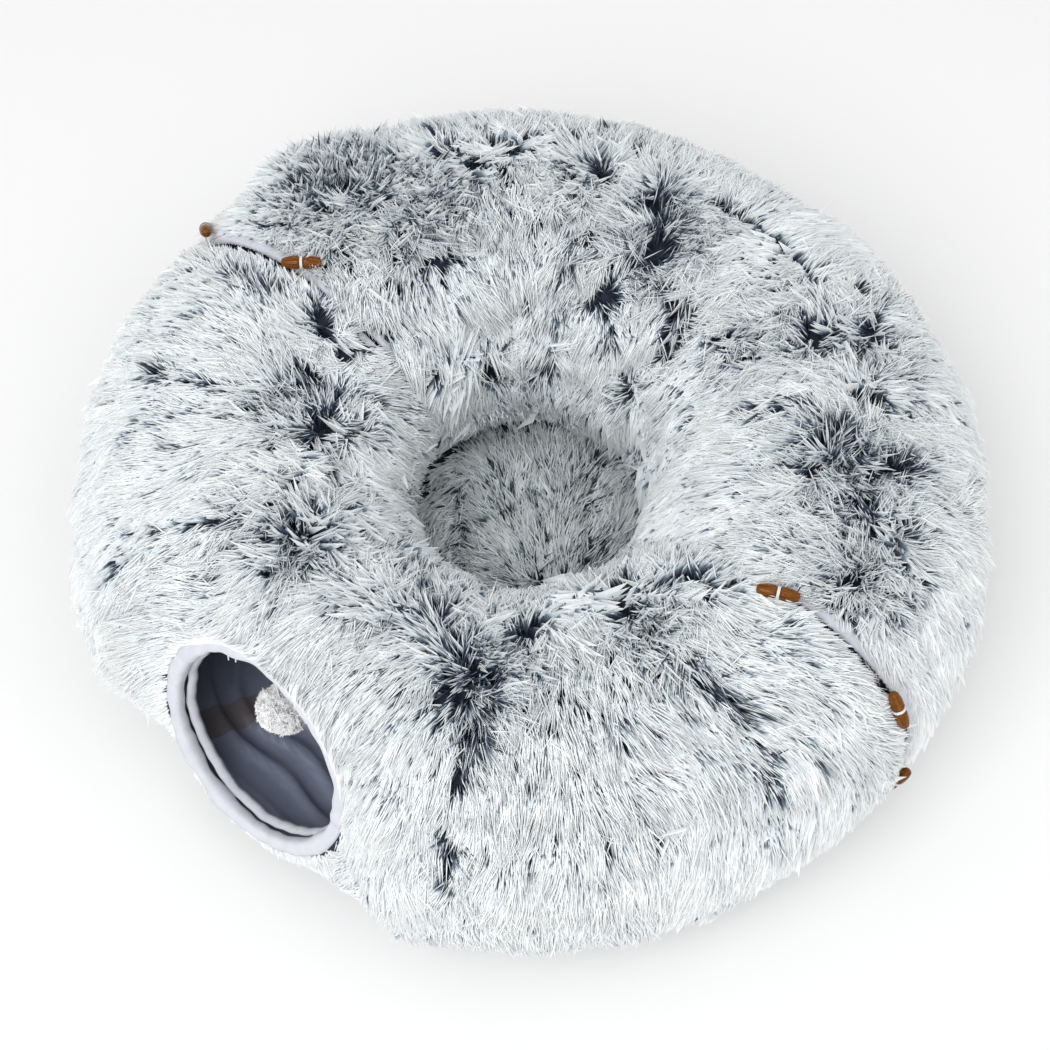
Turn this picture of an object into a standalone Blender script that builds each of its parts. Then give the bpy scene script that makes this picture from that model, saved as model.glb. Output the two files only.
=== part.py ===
# Round plush cat tunnel: two C-shaped half tunnels buttoned end to end around a centre mat.
# Metres, +Z up. The origin is the ring's centre on the floor. The seams lie on the X axis,
# the front half and its peephole face -Y.

import bpy
import bmesh
import math
import numpy as np
from mathutils import Vector

# Ring and tube, measured over the pile of the plush
ring_radius = 0.250
tube_half_width = 0.147
tube_half_height = 0.128
pressed_depth = 0.0035
bay_puff = 0.004

# Lobes of the soft wall: their places round the ring, and where the share is negative a hollow
lobe_height = 0.010
lobe_places = [math.radians(place) for place in (95, 161, 222, 313, 342)]
lobe_spreads = [math.radians(spread) for spread in (16, 10, 9, 12, 10)]
lobe_height_shares = (-0.8, 0.9, -1.0, -0.5, -0.9)

# Layers of the tunnel wall, from the outside in
cover_thickness = 0.013
wire_radius = 0.0012
lining_thickness = 0.0022
clearance = 0.0003

# Ends of the half tunnels
seam_gap = 0.006
tape_thickness = 0.0015
tape_width = 0.0095
tape_inset = 0.0045
tape_lap = 0.002
pile_step = 0.003

# Peephole: a stiff flat ring let into the outer wall of the front half
peep_set_in = 0.067
peep_rise = 0.0275
peep_tilt = math.radians(23)
peep_radius = 0.087
peep_tape_width = 0.012
peep_tape_wall = 0.0015
peep_wire_radius = 0.0015
peep_fold_height = 0.0016
peep_cover_edge = 0.003
peep_lining_edge = 0.0015
peep_layer_gap = 0.0015
peep_swell = 0.008
peep_loop_shares = (0.3, 0.65)
peep_turn = math.radians(-4.5)

# Pompom hanging in the peephole
pompom_radius = 0.022
pompom_drop = 0.057
knot_radius = 0.002
string_radius = 0.0008

# Toggle buttons and their loops
toggle_length = 0.035
toggle_radius = 0.00575
toggle_end_radius = 0.0028
waist_radius = 0.0039
waist_half_width = 0.0016
waist_bevel = 0.0012
cord_radius = 0.0009
loop_radius = 0.0009
loop_bend = 0.0025
toggle_lift = 0.0032
stalk_setback = 0.0036
loop_setback = 0.0042
toggle_turns = [math.radians(turn) for turn in (27, 27, -38, 27, 12, -23)]

# Centre mat
mat_radius = 0.136
mat_core_radius = 0.091
mat_edge_height = 0.026
mat_crown = 0.011
mat_wall = 0.007
mat_draw = 0.005
mat_cloth_thickness = 0.0015
mat_cloth_inset = 0.003
mat_channel_offset = 0.048
mat_channel_width = 0.009
mat_channel_depth = 0.0045
mat_channel_turn = math.radians(37.5)
mat_round_share = 0.25
mat_dome_shares = (0, 0.2, 0.34, 0.45, 0.55, 0.64, 0.72, 0.83, 0.93)
mat_pad_top_share = 0.25
mat_pad_middle_share = 0.7
mat_pad_height_share = 0.5

# Counts and shares of the meshes
weld_share = 0.01
sharp_angle = math.radians(40)
section_facets = 20
bay_count = 6
bay_steps = 4
lining_bay_steps = 2
peep_steps = 10
peep_patch_share = 0.91
peep_first_facet = 3
peep_last_facet = 11
wire_sides = 4
toggle_sides = 8
cord_sides = 5
mat_segments = 40
toggle_facets = (4, 7, 10)
toggle_shares = ((0.0, 0.0), (0.03, 0.55), (0.14, 0.86), (0.42, 1.0), (0.72, 0.97))

# Places that follow from the sizes above
tube_centre_height = tube_half_height - pressed_depth
peep_reach = ring_radius + tube_half_width - peep_set_in
peep_height = tube_centre_height + peep_rise
hem_inset = tape_inset + tape_thickness + clearance
hoop_inset = cover_thickness + clearance + wire_radius
lining_inset = cover_thickness + 2 * (clearance + wire_radius)
bore_inset = lining_inset + lining_thickness
seam_angle = seam_gap / 2 / ring_radius
shell_angle = seam_angle + (tape_thickness + clearance) / ring_radius
hem_angle = seam_angle + tape_width / ring_radius
pile_angle = hem_angle + (clearance + pile_step) / ring_radius
bay_angle = math.pi / bay_count
peep_patch_angle = bay_angle * peep_patch_share
peep_segments = 2 * (peep_steps + peep_last_facet - peep_first_facet)
peep_rim_radius = peep_radius + peep_tape_width
peep_hole_radius = peep_radius + peep_tape_wall + 2 * (peep_wire_radius + clearance)
pivot = Vector((-(ring_radius + tube_half_width + clearance), 0, 0))
toggle_height = toggle_radius + toggle_lift

peep_along = math.pi / 2 + peep_turn
peep_outward = np.array([math.sin(peep_turn), -math.cos(peep_turn), 0])
upward = np.array([0, 0, 1.0])
peep_side = np.cross(upward, peep_outward)
peep_normal = math.cos(peep_tilt) * peep_outward + math.sin(peep_tilt) * upward
peep_up = np.cross(peep_normal, peep_side)
peep_centre = peep_reach * peep_outward + peep_height * upward

# Depths of the layers where the peephole's binding grips them
peep_cover_depths = (0, peep_cover_edge)
peep_lining_top = peep_cover_edge + peep_layer_gap
peep_lining_depths = (peep_lining_top, peep_lining_top + peep_lining_edge)


def clear_scene():
    for item in list(bpy.data.objects):
        bpy.data.objects.remove(item, do_unlink=True)


def finish(name, colour, roughness, metallic=0.0):
    material = bpy.data.materials.new(name)
    material.use_nodes = True
    shader = material.node_tree.nodes["Principled BSDF"]
    shader.inputs["Base Color"].default_value = (*colour, 1.0)
    shader.inputs["Roughness"].default_value = roughness
    shader.inputs["Metallic"].default_value = metallic
    return material


def add_object(name, points, faces, material, origin=(0, 0, 0), parent=None):
    """One named closed body. The points are in the part's frame."""
    origin = Vector(origin)
    mesh = bpy.data.meshes.new(name)
    mesh.from_pydata([Vector(point) - origin for point in points], [], faces)
    shape = bmesh.new()
    shape.from_mesh(mesh)
    bmesh.ops.remove_doubles(shape, verts=shape.verts, dist=clearance * weld_share)
    bmesh.ops.recalc_face_normals(shape, faces=shape.faces)
    shape.to_mesh(mesh)
    shape.free()
    mesh.shade_smooth()
    mesh.set_sharp_from_angle(angle=sharp_angle)
    mesh.materials.append(material)
    item = bpy.data.objects.new(name, mesh)
    bpy.context.collection.objects.link(item)
    item.location = origin
    if parent is not None:
        item.parent = parent
        item.location = origin - parent.location
    return item


def add_pivot(name, place):
    empty = bpy.data.objects.new(name, None)
    empty.empty_display_size = toggle_length
    bpy.context.collection.objects.link(empty)
    empty.location = place
    return empty


def grid_faces(rows, columns, close_rows=False):
    """Quads over a grid of rows and closed columns, numbered row by row."""
    faces = []
    for row in range(rows if close_rows else rows - 1):
        for column in range(columns):
            after = (row + 1) % rows
            beside = (column + 1) % columns
            faces.append((row * columns + column, row * columns + beside,
                          after * columns + beside, after * columns + column))
    return faces


def facet_corners():
    """Section angles of the facet corners. Facet 0 is level and lies at the base."""
    step = 2 * math.pi / section_facets
    return -math.pi / 2 + step * (np.arange(section_facets) - 0.5)


def wall_surface(azimuths, inset, pressed=False):
    """A wall surface as rows of section points, inset from the outside of the pile."""
    azimuth = np.asarray(azimuths)[:, None]
    angle = facet_corners()[None, :]
    reach = ring_radius + (tube_half_width - inset) * np.cos(angle)
    height = tube_centre_height + (tube_half_height - inset) * np.sin(angle)
    if pressed:
        height = np.maximum(height, 0)
    shape = (len(azimuths), section_facets)
    return np.stack([reach * np.cos(azimuth), reach * np.sin(azimuth),
                     np.broadcast_to(height, shape)], -1)


def hoop_places(with_peephole):
    """Angles of the hoops along a half tunnel. The two beside the peephole keep even with it."""
    if with_peephole:
        return [bay_angle, peep_along - bay_angle, peep_along + bay_angle, math.pi - bay_angle]
    return [bay_angle * (index + 1) for index in range(bay_count - 1)]


def wall_stations(hoop_angles, with_peephole, steps_per_bay):
    """Angles of a half tunnel's sections: the hems, the hoops and the steps between them."""
    ends = [shell_angle, hem_angle + clearance / ring_radius, pile_angle]
    middle = []
    bays = [0, *hoop_angles, math.pi]
    for first, last in zip(bays, bays[1:]):
        middle += list(np.linspace(first, last, steps_per_bay + 1)[:-1])
        if with_peephole and first < peep_along < last:
            middle = [angle for angle in middle if angle <= first]
            patch = np.linspace(-peep_patch_angle, peep_patch_angle, peep_steps + 1)
            middle += list(patch + peep_along)
    margin = bay_angle / 2 - clearance
    middle = [angle for angle in middle if margin < angle < math.pi - margin]
    return np.array([*ends, *middle, *[math.pi - angle for angle in reversed(ends)]])


def pile_insets(start, along, hoop_angles):
    """The pile puffs out between the hoops and is pressed down under the hem tapes. Its few wide
    lobes fade out below the wall's widest place."""
    bays = np.array([0, *hoop_angles, math.pi])
    index = np.clip(np.searchsorted(bays, along, side="right") - 1, 0, len(bays) - 2)
    share = (along - bays[index]) / (bays[index + 1] - bays[index])
    outer_share = (1 + np.cos(facet_corners())) / 2
    upper_share = np.clip(1 + 2 * np.sin(facet_corners()), 0, 1)
    puff = bay_puff * np.sin(math.pi * share) ** 2
    swell = np.zeros(len(along))
    for place, spread, height_share in zip(lobe_places, lobe_spreads, lobe_height_shares):
        offset = (start + along - place + math.pi) % (2 * math.pi) - math.pi
        swell += lobe_height * height_share * np.exp(-(offset / spread) ** 2)
    inset = -(puff[:, None] + swell[:, None] * upper_share[None, :]) * outer_share[None, :]
    inset[[0, 1, -2, -1]] = hem_inset
    return inset


def strip_faces(first, second):
    """Triangles between two closed loops of points, all split the same way."""
    faces = []
    for step in range(len(first)):
        after = (step + 1) % len(first)
        faces.append((first[step], first[after], second[after]))
        faces.append((first[step], second[after], second[step]))
    return faces


def peephole_collar(points, border, depth, swell):
    """Loops that draw a wall surface from its border in to the flat rim of the peephole."""
    flat = around_peephole((peep_rim_radius + 2 * clearance, peep_hole_radius), (-depth, -depth))
    new_loops = [flat[:, 0], flat[:, 1]]
    edge = np.array([points[corner] for corner in border])
    rim = flat[:, 0]
    outward = np.cross(np.roll(edge, -1, axis=0) - np.roll(edge, 1, axis=0), rim - edge)
    outward /= np.linalg.norm(outward, axis=1)[:, None]
    for share in peep_loop_shares if swell else ():
        bulge = swell * math.sin(math.pi * share)
        new_loops.insert(0, share * edge + (1 - share) * rim + bulge * outward)
    loops = [border]
    for loop in new_loops:
        loops.append(list(range(len(points), len(points) + peep_segments)))
        points += list(loop)
    return loops


def shell(name, outer, inner, material, parent, middle=None, peep_depths=None, swell=0):
    """A tube wall between two surfaces, closed at both ends, with the peephole let in."""
    rows = len(outer)
    count = rows * section_facets
    points = [*outer.reshape(-1, 3), *inner.reshape(-1, 3)]
    grid = np.arange(count).reshape(rows, section_facets)
    patch_rows = range(0)
    if middle is not None:
        patch_rows = range(middle - peep_steps // 2, middle + peep_steps // 2)
    faces = []
    for row in range(rows - 1):
        triangles = strip_faces(list(grid[row]), list(grid[row + 1]))
        if row in patch_rows:
            triangles = triangles[:2 * peep_first_facet] + triangles[2 * peep_last_facet:]
        faces += triangles
        faces += [tuple(count + corner for corner in reversed(face)) for face in triangles]
    for row in (0, rows - 1):
        faces += strip_faces(list(grid[row]), list(grid[row] + count))
    if middle is not None:
        border = peephole_border(middle)
        edges = []
        for side, depth in enumerate(peep_depths):
            side_border = [side * count + corner for corner in border]
            loops = peephole_collar(points, side_border, depth, 0 if side else swell)
            for first, second in zip(loops, loops[1:]):
                faces += strip_faces(first, second)
            edges.append(loops[-1])
        faces += strip_faces(*edges)
    faces = [tuple(int(corner) for corner in face) for face in faces]
    return add_object(name, points, faces, material, parent.location, parent)


def peephole_border(middle):
    """The grid points round the peephole's patch, from its lowest point towards +X and up."""
    near, far = middle - peep_steps // 2, middle + peep_steps // 2
    low, high = peep_first_facet, peep_last_facet
    walk = [(row, low) for row in range(middle, far)]
    walk += [(far, facet) for facet in range(low, high)]
    walk += [(row, high) for row in range(far, near, -1)]
    walk += [(near, facet) for facet in range(high, low, -1)]
    walk += [(row, low) for row in range(near, middle)]
    return [row * section_facets + facet for row, facet in walk]


def swept_ring(name, rows, material, origin, parent=None):
    """A closed profile carried round a closed path: rows of profile points."""
    rows = np.asarray(rows)
    faces = grid_faces(rows.shape[0], rows.shape[1], close_rows=True)
    return add_object(name, rows.reshape(-1, 3), faces, material, origin, parent)


def hoop(name, azimuth, material, parent):
    """A spring steel hoop: a round wire bent to the tube's section."""
    turn = 2 * math.pi * np.arange(wire_sides) / wire_sides
    rows = []
    for angle in facet_corners():
        insets = hoop_inset + wire_radius * np.cos(turn)
        reach = ring_radius + (tube_half_width - insets) * math.cos(angle)
        height = tube_centre_height + (tube_half_height - insets) * math.sin(angle)
        along = wire_radius * np.sin(turn)
        rows.append(np.stack([reach * math.cos(azimuth) - along * math.sin(azimuth),
                              reach * math.sin(azimuth) + along * math.cos(azimuth), height], -1))
    return swept_ring(name, rows, material, parent.location, parent)


def end_tape(name, end_azimuth, sense, material, parent):
    """The binding on a tunnel's end: a web over the cut edges and a flange on the outside."""
    flange = tape_width / ring_radius
    web = tape_thickness / ring_radius
    foot = bore_inset + tape_lap
    under = tape_inset + tape_thickness
    profile = ((0, tape_inset), (flange, tape_inset), (flange, under), (web, under),
               (web, foot), (0, foot))
    rows = []
    for angle in facet_corners():
        row = []
        for turn, inset in profile:
            azimuth = end_azimuth + sense * turn
            reach = ring_radius + (tube_half_width - inset) * math.cos(angle)
            height = tube_centre_height + (tube_half_height - inset) * math.sin(angle)
            row.append((reach * math.cos(azimuth), reach * math.sin(azimuth), height))
        rows.append(row)
    return swept_ring(name, rows, material, parent.location, parent)


def around_peephole(radius, depth):
    """Rows of points round the peephole's axis, one for each radius and depth of a profile."""
    turn = 2 * math.pi * np.arange(peep_segments) / peep_segments - math.pi / 2
    radius, depth = np.asarray(radius), np.asarray(depth)
    spoke = np.cos(turn)[:, None] * peep_side + np.sin(turn)[:, None] * peep_up
    return (peep_centre + radius[None, :, None] * spoke[:, None, :]
            + depth[None, :, None] * peep_normal)


def peephole_ring(front, tape_material, steel):
    """A folded tape grips the edges of the cover and the lining round a steel ring."""
    back = -(peep_lining_depths[-1] + clearance)
    nose = peep_radius + peep_tape_wall
    rim = peep_radius + peep_tape_width
    top = clearance + peep_tape_wall
    bottom = back - peep_tape_wall
    middle = (top + bottom) / 2
    fold = peep_fold_height / 2
    radii = (rim, nose, peep_radius, peep_radius, nose, rim, rim, nose, nose, rim)
    depths = (top, top, middle + fold, middle - fold, bottom, bottom,
              back, back, clearance, clearance)
    swept_ring("peephole_tape", around_peephole(radii, depths), tape_material, peep_centre, front)
    turn = 2 * math.pi * np.arange(wire_sides) / wire_sides
    radii = nose + clearance + peep_wire_radius * (1 + np.cos(turn))
    depths = middle + peep_wire_radius * np.sin(turn)
    swept_ring("peephole_hoop", around_peephole(radii, depths), steel, peep_centre, front)


def lathe_rows(profile, centre, axis, side, up, sides):
    """Points of a turned profile: pairs of distance along the axis and radius."""
    turn = 2 * math.pi * np.arange(sides) / sides
    spoke = np.cos(turn)[:, None] * np.asarray(side) + np.sin(turn)[:, None] * np.asarray(up)
    return [np.asarray(centre) + along * np.asarray(axis) + radius * spoke
            for along, radius in profile]


def turned(name, profile, centre, axis, side, up, sides, material, origin, parent=None):
    """A solid turned about an axis, with its two ends closed by flat or pointed caps."""
    rows = lathe_rows(profile, centre, axis, side, up, sides)
    faces = grid_faces(len(rows), sides)
    last = (len(rows) - 1) * sides
    faces.append(tuple(range(sides)))
    faces.append(tuple(range(last + sides - 1, last - 1, -1)))
    return add_object(name, np.concatenate(rows), faces, material, origin, parent)


def tube_rows(path, radius, sides, flat_normal):
    """Rings of points round each point of a closed path that lies in one plane."""
    path = np.asarray(path)
    along = np.roll(path, -1, axis=0) - np.roll(path, 1, axis=0)
    along /= np.linalg.norm(along, axis=1)[:, None]
    across = np.cross(along, flat_normal)
    turn = 2 * math.pi * (np.arange(sides) + 0.5) / sides
    return (path[:, None, :] + radius * np.cos(turn)[None, :, None] * across[:, None, :]
            + radius * np.sin(turn)[None, :, None] * np.asarray(flat_normal))


def seam_frame(side_sign, facet):
    """The middle of a hem tape's facet at a seam: its place, outward normal and direction."""
    step = 2 * math.pi / section_facets
    angle = -math.pi / 2 + step * facet
    flatten = math.cos(step / 2)
    wide = (tube_half_width - tape_inset)
    high = (tube_half_height - tape_inset)
    reach = ring_radius + wide * math.cos(angle) * flatten
    height = tube_centre_height + high * math.sin(angle) * flatten
    outward = np.array([side_sign * high * math.cos(angle), 0, wide * math.sin(angle)])
    outward /= np.linalg.norm(outward)
    across = np.array([0, 1.0, 0])
    return np.array([side_sign * reach, 0, height]), outward, across, reach


def toggle_set(number, side_sign, facet, taker, wood, cord):
    """A wooden toggle on a cord of one half, and the loop of the other half round that cord."""
    place, outward, across, reach = seam_frame(side_sign, facet)
    stalk = place - side_sign * (reach * seam_angle + stalk_setback) * across
    anchor = place + side_sign * (reach * seam_angle + loop_setback) * across
    along = np.cross(outward, across)
    turn = toggle_turns[number - 1]
    axis = math.cos(turn) * along + math.sin(turn) * across
    beside = np.cross(outward, axis)
    centre = stalk + (2 * (clearance + loop_radius) + toggle_height) * outward
    half = toggle_length / 2
    profile = []
    for share, radius_share in toggle_shares:
        radius = toggle_end_radius + (toggle_radius - toggle_end_radius) * radius_share
        profile.append((-half * (1 - share), radius))
    profile.append((-waist_half_width - waist_bevel, toggle_radius * toggle_shares[-1][1]))
    profile.append((-waist_half_width, waist_radius))
    profile += [(-distance, radius) for distance, radius in reversed(profile)]
    pivot_place = Vector(stalk)
    turned(f"toggle_{number}", profile, centre, axis, beside, outward, toggle_sides, wood,
           pivot_place)
    ring_radius_at_waist = waist_radius + clearance + cord_radius
    turn = 2 * math.pi * np.arange(2 * cord_sides) / (2 * cord_sides)
    path = [centre + ring_radius_at_waist * (math.sin(a) * beside - math.cos(a) * outward)
            for a in turn]
    rows = tube_rows(path, cord_radius, cord_sides, axis)
    band = swept_ring(f"toggle_cord_{number}", rows, cord, pivot_place)
    top = np.dot(centre - stalk, outward) - ring_radius_at_waist
    stalk_profile = ((clearance, cord_radius), (top, cord_radius))
    stem = turned(f"stem_{number}", stalk_profile, stalk, outward, axis, beside, cord_sides, cord,
                  pivot_place)
    join = band.modifiers.new("stem", "BOOLEAN")
    join.operation = "UNION"
    join.solver = "EXACT"
    join.object = stem
    stem.hide_render = True
    stem.display_type = "WIRE"
    lift = (clearance + loop_radius) * outward
    bend = loop_bend
    turn = math.pi * np.arange(cord_sides + 1) / cord_sides
    reach_out = (stalk - anchor) / np.linalg.norm(stalk - anchor)
    path = [stalk + lift + bend * (math.sin(a) * reach_out + math.cos(a) * along) for a in turn]
    path += [anchor + lift - bend * (math.sin(a) * reach_out + math.cos(a) * along) for a in turn]
    rows = tube_rows(path, loop_radius, cord_sides, outward)
    swept_ring(f"toggle_loop_{number}", rows, cord, Vector(anchor), taker)


def half_tunnel(name, start, with_peephole, parent, finishes):
    """The plush cover, the lining, the steel hoops and the end bindings of one half tunnel."""
    hoop_angles = hoop_places(with_peephole)
    along = wall_stations(hoop_angles, with_peephole, bay_steps)
    middle = int(np.argmin(np.abs(along - peep_along))) if with_peephole else None
    outer = wall_surface(start + along, pile_insets(start, along, hoop_angles), pressed=True)
    inner = wall_surface(start + along, cover_thickness)
    shell(f"{name}_plush_cover", outer, inner, finishes["plush"], parent, middle,
          peep_cover_depths, peep_swell)
    along = wall_stations(hoop_angles, with_peephole, lining_bay_steps)
    middle = int(np.argmin(np.abs(along - peep_along))) if with_peephole else None
    outer = wall_surface(start + along, lining_inset)
    inner = wall_surface(start + along, bore_inset)
    shell(f"{name}_lining", outer, inner, finishes["lining"], parent, middle,
          peep_lining_depths)
    end_hoop = (shell_angle + hem_angle) / 2
    places = [end_hoop, *hoop_angles, math.pi - end_hoop]
    for number, place in enumerate(places, 1):
        hoop(f"{name}_hoop_{number}", start + place, finishes["steel"], parent)
    end_tape(f"{name}_end_tape_1", start + seam_angle, 1, finishes["tape"], parent)
    end_tape(f"{name}_end_tape_2", start + math.pi - seam_angle, -1, finishes["tape"], parent)


def hanging_pompom(finishes):
    """A pompom on a string from a knot under the top of the peephole's binding."""
    middle = -peep_lining_depths[-1] / 2
    knot = peep_centre + (peep_radius - clearance - knot_radius) * peep_up + middle * peep_normal
    up, side, back = (0, 0, 1.0), (1.0, 0, 0), (0, 1.0, 0)
    steps = 2 * math.pi * np.arange(1, cord_sides) / (2 * cord_sides)
    ball = [(-knot_radius * math.cos(a), knot_radius * math.sin(a)) for a in steps]
    turned("pompom_knot", ball, knot, up, side, back, cord_sides + 1, finishes["cord"], knot)
    centre = knot - np.array([0, 0, pompom_drop])
    upper = -(knot_radius + clearance)
    lower = -(pompom_drop - pompom_radius - clearance)
    turned("pompom_string", ((lower, string_radius), (upper, string_radius)), knot, up, side, back,
           cord_sides, finishes["cord"], knot)
    steps = math.pi * (np.arange(2 * cord_sides - 1) + 0.5) / (2 * cord_sides - 1)
    ball = [(-pompom_radius * math.cos(a), pompom_radius * math.sin(a)) for a in steps]
    turned("pompom", ball, centre, up, side, back, 2 * cord_sides + 2, finishes["pompom"], knot)


def channel_depth(points):
    """How far the mat's two sewn channels press its dome down."""
    across = points @ np.array([math.cos(mat_channel_turn), math.sin(mat_channel_turn), 0])
    beside = (np.abs(across) - mat_channel_offset) / mat_channel_width
    return mat_channel_depth * np.exp(-beside ** 2)


def centre_mat(finishes):
    """A round mat: a plush cover with a wide soft skirt over a firm core, on a base cloth."""
    up, side, back = (0, 0, 1.0), (1.0, 0, 0), (0, 1.0, 0)
    origin = (0, 0, 0)
    cloth_radius = mat_core_radius - mat_cloth_inset
    turned("mat_base_cloth", ((0, cloth_radius), (mat_cloth_thickness, cloth_radius)), origin,
           up, side, back, mat_segments, finishes["base"], origin)
    foot = mat_cloth_thickness + clearance
    girth = mat_radius - mat_draw
    shoulder = mat_radius - mat_draw * mat_round_share
    outer = [(foot, girth), (foot + mat_draw, shoulder), ((foot + mat_edge_height) / 2, mat_radius),
             (mat_edge_height - mat_draw, shoulder)]
    for share in mat_dome_shares:
        outer.append((mat_edge_height + mat_crown * math.sin(math.pi / 2 * share),
                      girth * (1 - share ** 2)))
    inner = [(mat_edge_height + mat_crown - mat_wall, mat_core_radius * mat_pad_top_share),
             (mat_edge_height + mat_crown * mat_pad_height_share - mat_wall,
              mat_core_radius * mat_pad_middle_share),
             (mat_edge_height - mat_wall, mat_core_radius), (foot, mat_core_radius)]
    rows = lathe_rows(outer + inner, origin, up, side, back, mat_segments)
    for row in rows[len(outer) - len(mat_dome_shares) + 1:len(outer)]:
        row[:, 2] -= channel_depth(row)
    faces = grid_faces(len(rows), mat_segments)
    last = (len(rows) - 1) * mat_segments
    for step in range(mat_segments):
        beside = (step + 1) % mat_segments
        faces.append((step, beside, last + beside, last + step))
    cap = (len(outer) - 1) * mat_segments
    between = set(range(cap, cap + 2 * mat_segments))
    faces = [face for face in faces if not set(face) <= between]
    faces.append(tuple(range(cap, cap + mat_segments)))
    faces.append(tuple(range(cap + 2 * mat_segments - 1, cap + mat_segments - 1, -1)))
    add_object("mat_plush_cover", np.concatenate(rows), faces, finishes["mat"], origin)
    pad = [(height - clearance, radius - 2 * clearance) for height, radius in reversed(inner)]
    pad[0] = (foot, mat_core_radius - 2 * clearance)
    turned("mat_filling", pad, origin, up, side, back, mat_segments, finishes["filling"], origin)


def build():
    clear_scene()
    finishes = {
        "plush": finish("plush", (0.62, 0.67, 0.71), 0.95),
        "lining": finish("lining", (0.02, 0.025, 0.045), 0.35),
        "steel": finish("spring_steel", (0.55, 0.56, 0.58), 0.3, 1.0),
        "tape": finish("binding_tape", (0.74, 0.76, 0.85), 0.7),
        "wood": finish("toggle_wood", (0.27, 0.10, 0.03), 0.4),
        "cord": finish("white_cord", (0.85, 0.85, 0.82), 0.8),
        "pompom": finish("pompom_wool", (0.85, 0.87, 0.9), 0.95),
        "mat": finish("mat_plush", (0.45, 0.50, 0.54), 0.95),
        "filling": finish("fibre_filling", (0.9, 0.9, 0.88), 0.95),
        "base": finish("base_cloth", (0.04, 0.045, 0.06), 0.8),
    }
    front = add_pivot("front_half", (0, 0, 0))
    rear = add_pivot("rear_half", pivot)
    half_tunnel("front", math.pi, True, front, finishes)
    peephole_ring(front, finishes["tape"], finishes["steel"])
    half_tunnel("rear", 0.0, False, rear, finishes)
    number = 0
    for side_sign, taker in ((-1, front), (1, rear)):
        for facet in toggle_facets:
            number += 1
            toggle_set(number, side_sign, facet, taker, finishes["wood"], finishes["cord"])
    hanging_pompom(finishes)
    centre_mat(finishes)


build()
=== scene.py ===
# Round plush cat tunnel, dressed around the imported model: long combed fur, satin linings,
# bound edges, wooden toggles on cords, a pompom in the peephole and a fur mat in the middle.
# Metres, +Z up. The ring's centre on the floor is the origin, its seams lie on the X axis.

import math

import bpy
import numpy as np
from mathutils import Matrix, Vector


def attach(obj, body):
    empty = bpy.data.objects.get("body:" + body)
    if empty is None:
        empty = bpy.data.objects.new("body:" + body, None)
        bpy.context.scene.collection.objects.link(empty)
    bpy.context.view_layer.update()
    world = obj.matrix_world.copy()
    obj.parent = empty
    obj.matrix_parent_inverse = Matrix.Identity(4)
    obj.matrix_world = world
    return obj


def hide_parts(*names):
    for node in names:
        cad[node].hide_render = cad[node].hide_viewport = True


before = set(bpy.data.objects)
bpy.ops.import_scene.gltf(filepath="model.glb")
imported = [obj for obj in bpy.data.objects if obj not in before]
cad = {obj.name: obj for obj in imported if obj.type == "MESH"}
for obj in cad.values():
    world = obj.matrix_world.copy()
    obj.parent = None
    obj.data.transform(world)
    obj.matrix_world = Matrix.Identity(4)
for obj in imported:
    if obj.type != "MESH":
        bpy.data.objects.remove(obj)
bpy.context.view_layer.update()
rng = np.random.default_rng(11)
up = np.array([0.0, 0.0, 1.0])

# The tube's section is an ellipse carried round a circle. Insets are measured from its outside,
# and lengths round it by its mean radius.
tube = dict(ringRadius=0.25, halfWidth=0.147, halfHeight=0.128, centreHeight=0.1245,
            meanRadius=0.1375)


# Small helpers for arrays of vectors

def unit(vectors):
    return vectors / np.maximum(np.linalg.norm(vectors, axis=-1, keepdims=True), 1e-12)


def dot(first, second):
    return (first * second).sum(-1, keepdims=True)


def smoothStep(values, low, high):
    # 0 below low, 1 above high, and 3t^2 - 2t^3 between
    share = np.clip((values - low) / (high - low), 0, 1)
    return share * share * (3 - 2 * share)


def wallInset(points):
    # How far points lie inside the tube's nominal outside, less than 0 outside it
    across = (np.hypot(points[:, 0], points[:, 1]) - tube["ringRadius"]) / tube["halfWidth"]
    rise = (points[:, 2] - tube["centreHeight"]) / tube["halfHeight"]
    return (1 - np.hypot(across, rise)) * tube["meanRadius"]


def wrapped(degrees):
    return (degrees + 180) % 360 - 180


def makeWaves(wavelength, count=7):
    # Plane waves in random directions, whose sum is a smooth random field
    steps = 2 * math.pi / (wavelength * rng.uniform(0.7, 1.5, (count, 1)))
    return unit(rng.normal(size=(count, 3))) * steps, rng.uniform(0, 2 * math.pi, count)


def waveField(points, waves):
    # Sum of sines of the waves, scaled to a spread of about one
    return np.sin(points @ waves[0].T + waves[1]).sum(-1) / math.sqrt(len(waves[1]) / 2)


def tubeCoordinates(points):
    # Azimuth and section angle in degrees, with the unit directions along the ring and round it
    x, y, z = points[:, 0], points[:, 1], points[:, 2]
    reach = np.hypot(x, y)
    azimuth = np.degrees(np.arctan2(y, x)) % 360
    angle = np.arctan2((z - tube["centreHeight"]) / tube["halfHeight"],
                       (reach - tube["ringRadius"]) / tube["halfWidth"])
    section = np.degrees(angle)
    section = np.where(section < -90, section + 360, section)
    outward = np.stack([x / reach, y / reach, 0 * x], -1)
    along = np.cross(up, outward)
    around = unit(-tube["halfWidth"] * np.sin(angle)[:, None] * outward
                  + tube["halfHeight"] * np.cos(angle)[:, None] * up)
    return azimuth, section, reach, along, around


def fromSeams(half, azimuth):
    # Degrees along the ring from the half's first seam and from its second
    start = 180 if half == "front" else 0
    return azimuth - start, start + 180 - azimuth


def fromPlace(azimuth, section, reach, place, level):
    # Metres along the ring and up its wall from a place given by azimuth and section angle
    right = np.radians(wrapped(azimuth - place)) * reach
    return right, np.radians(section - level) * tube["meanRadius"]


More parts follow.
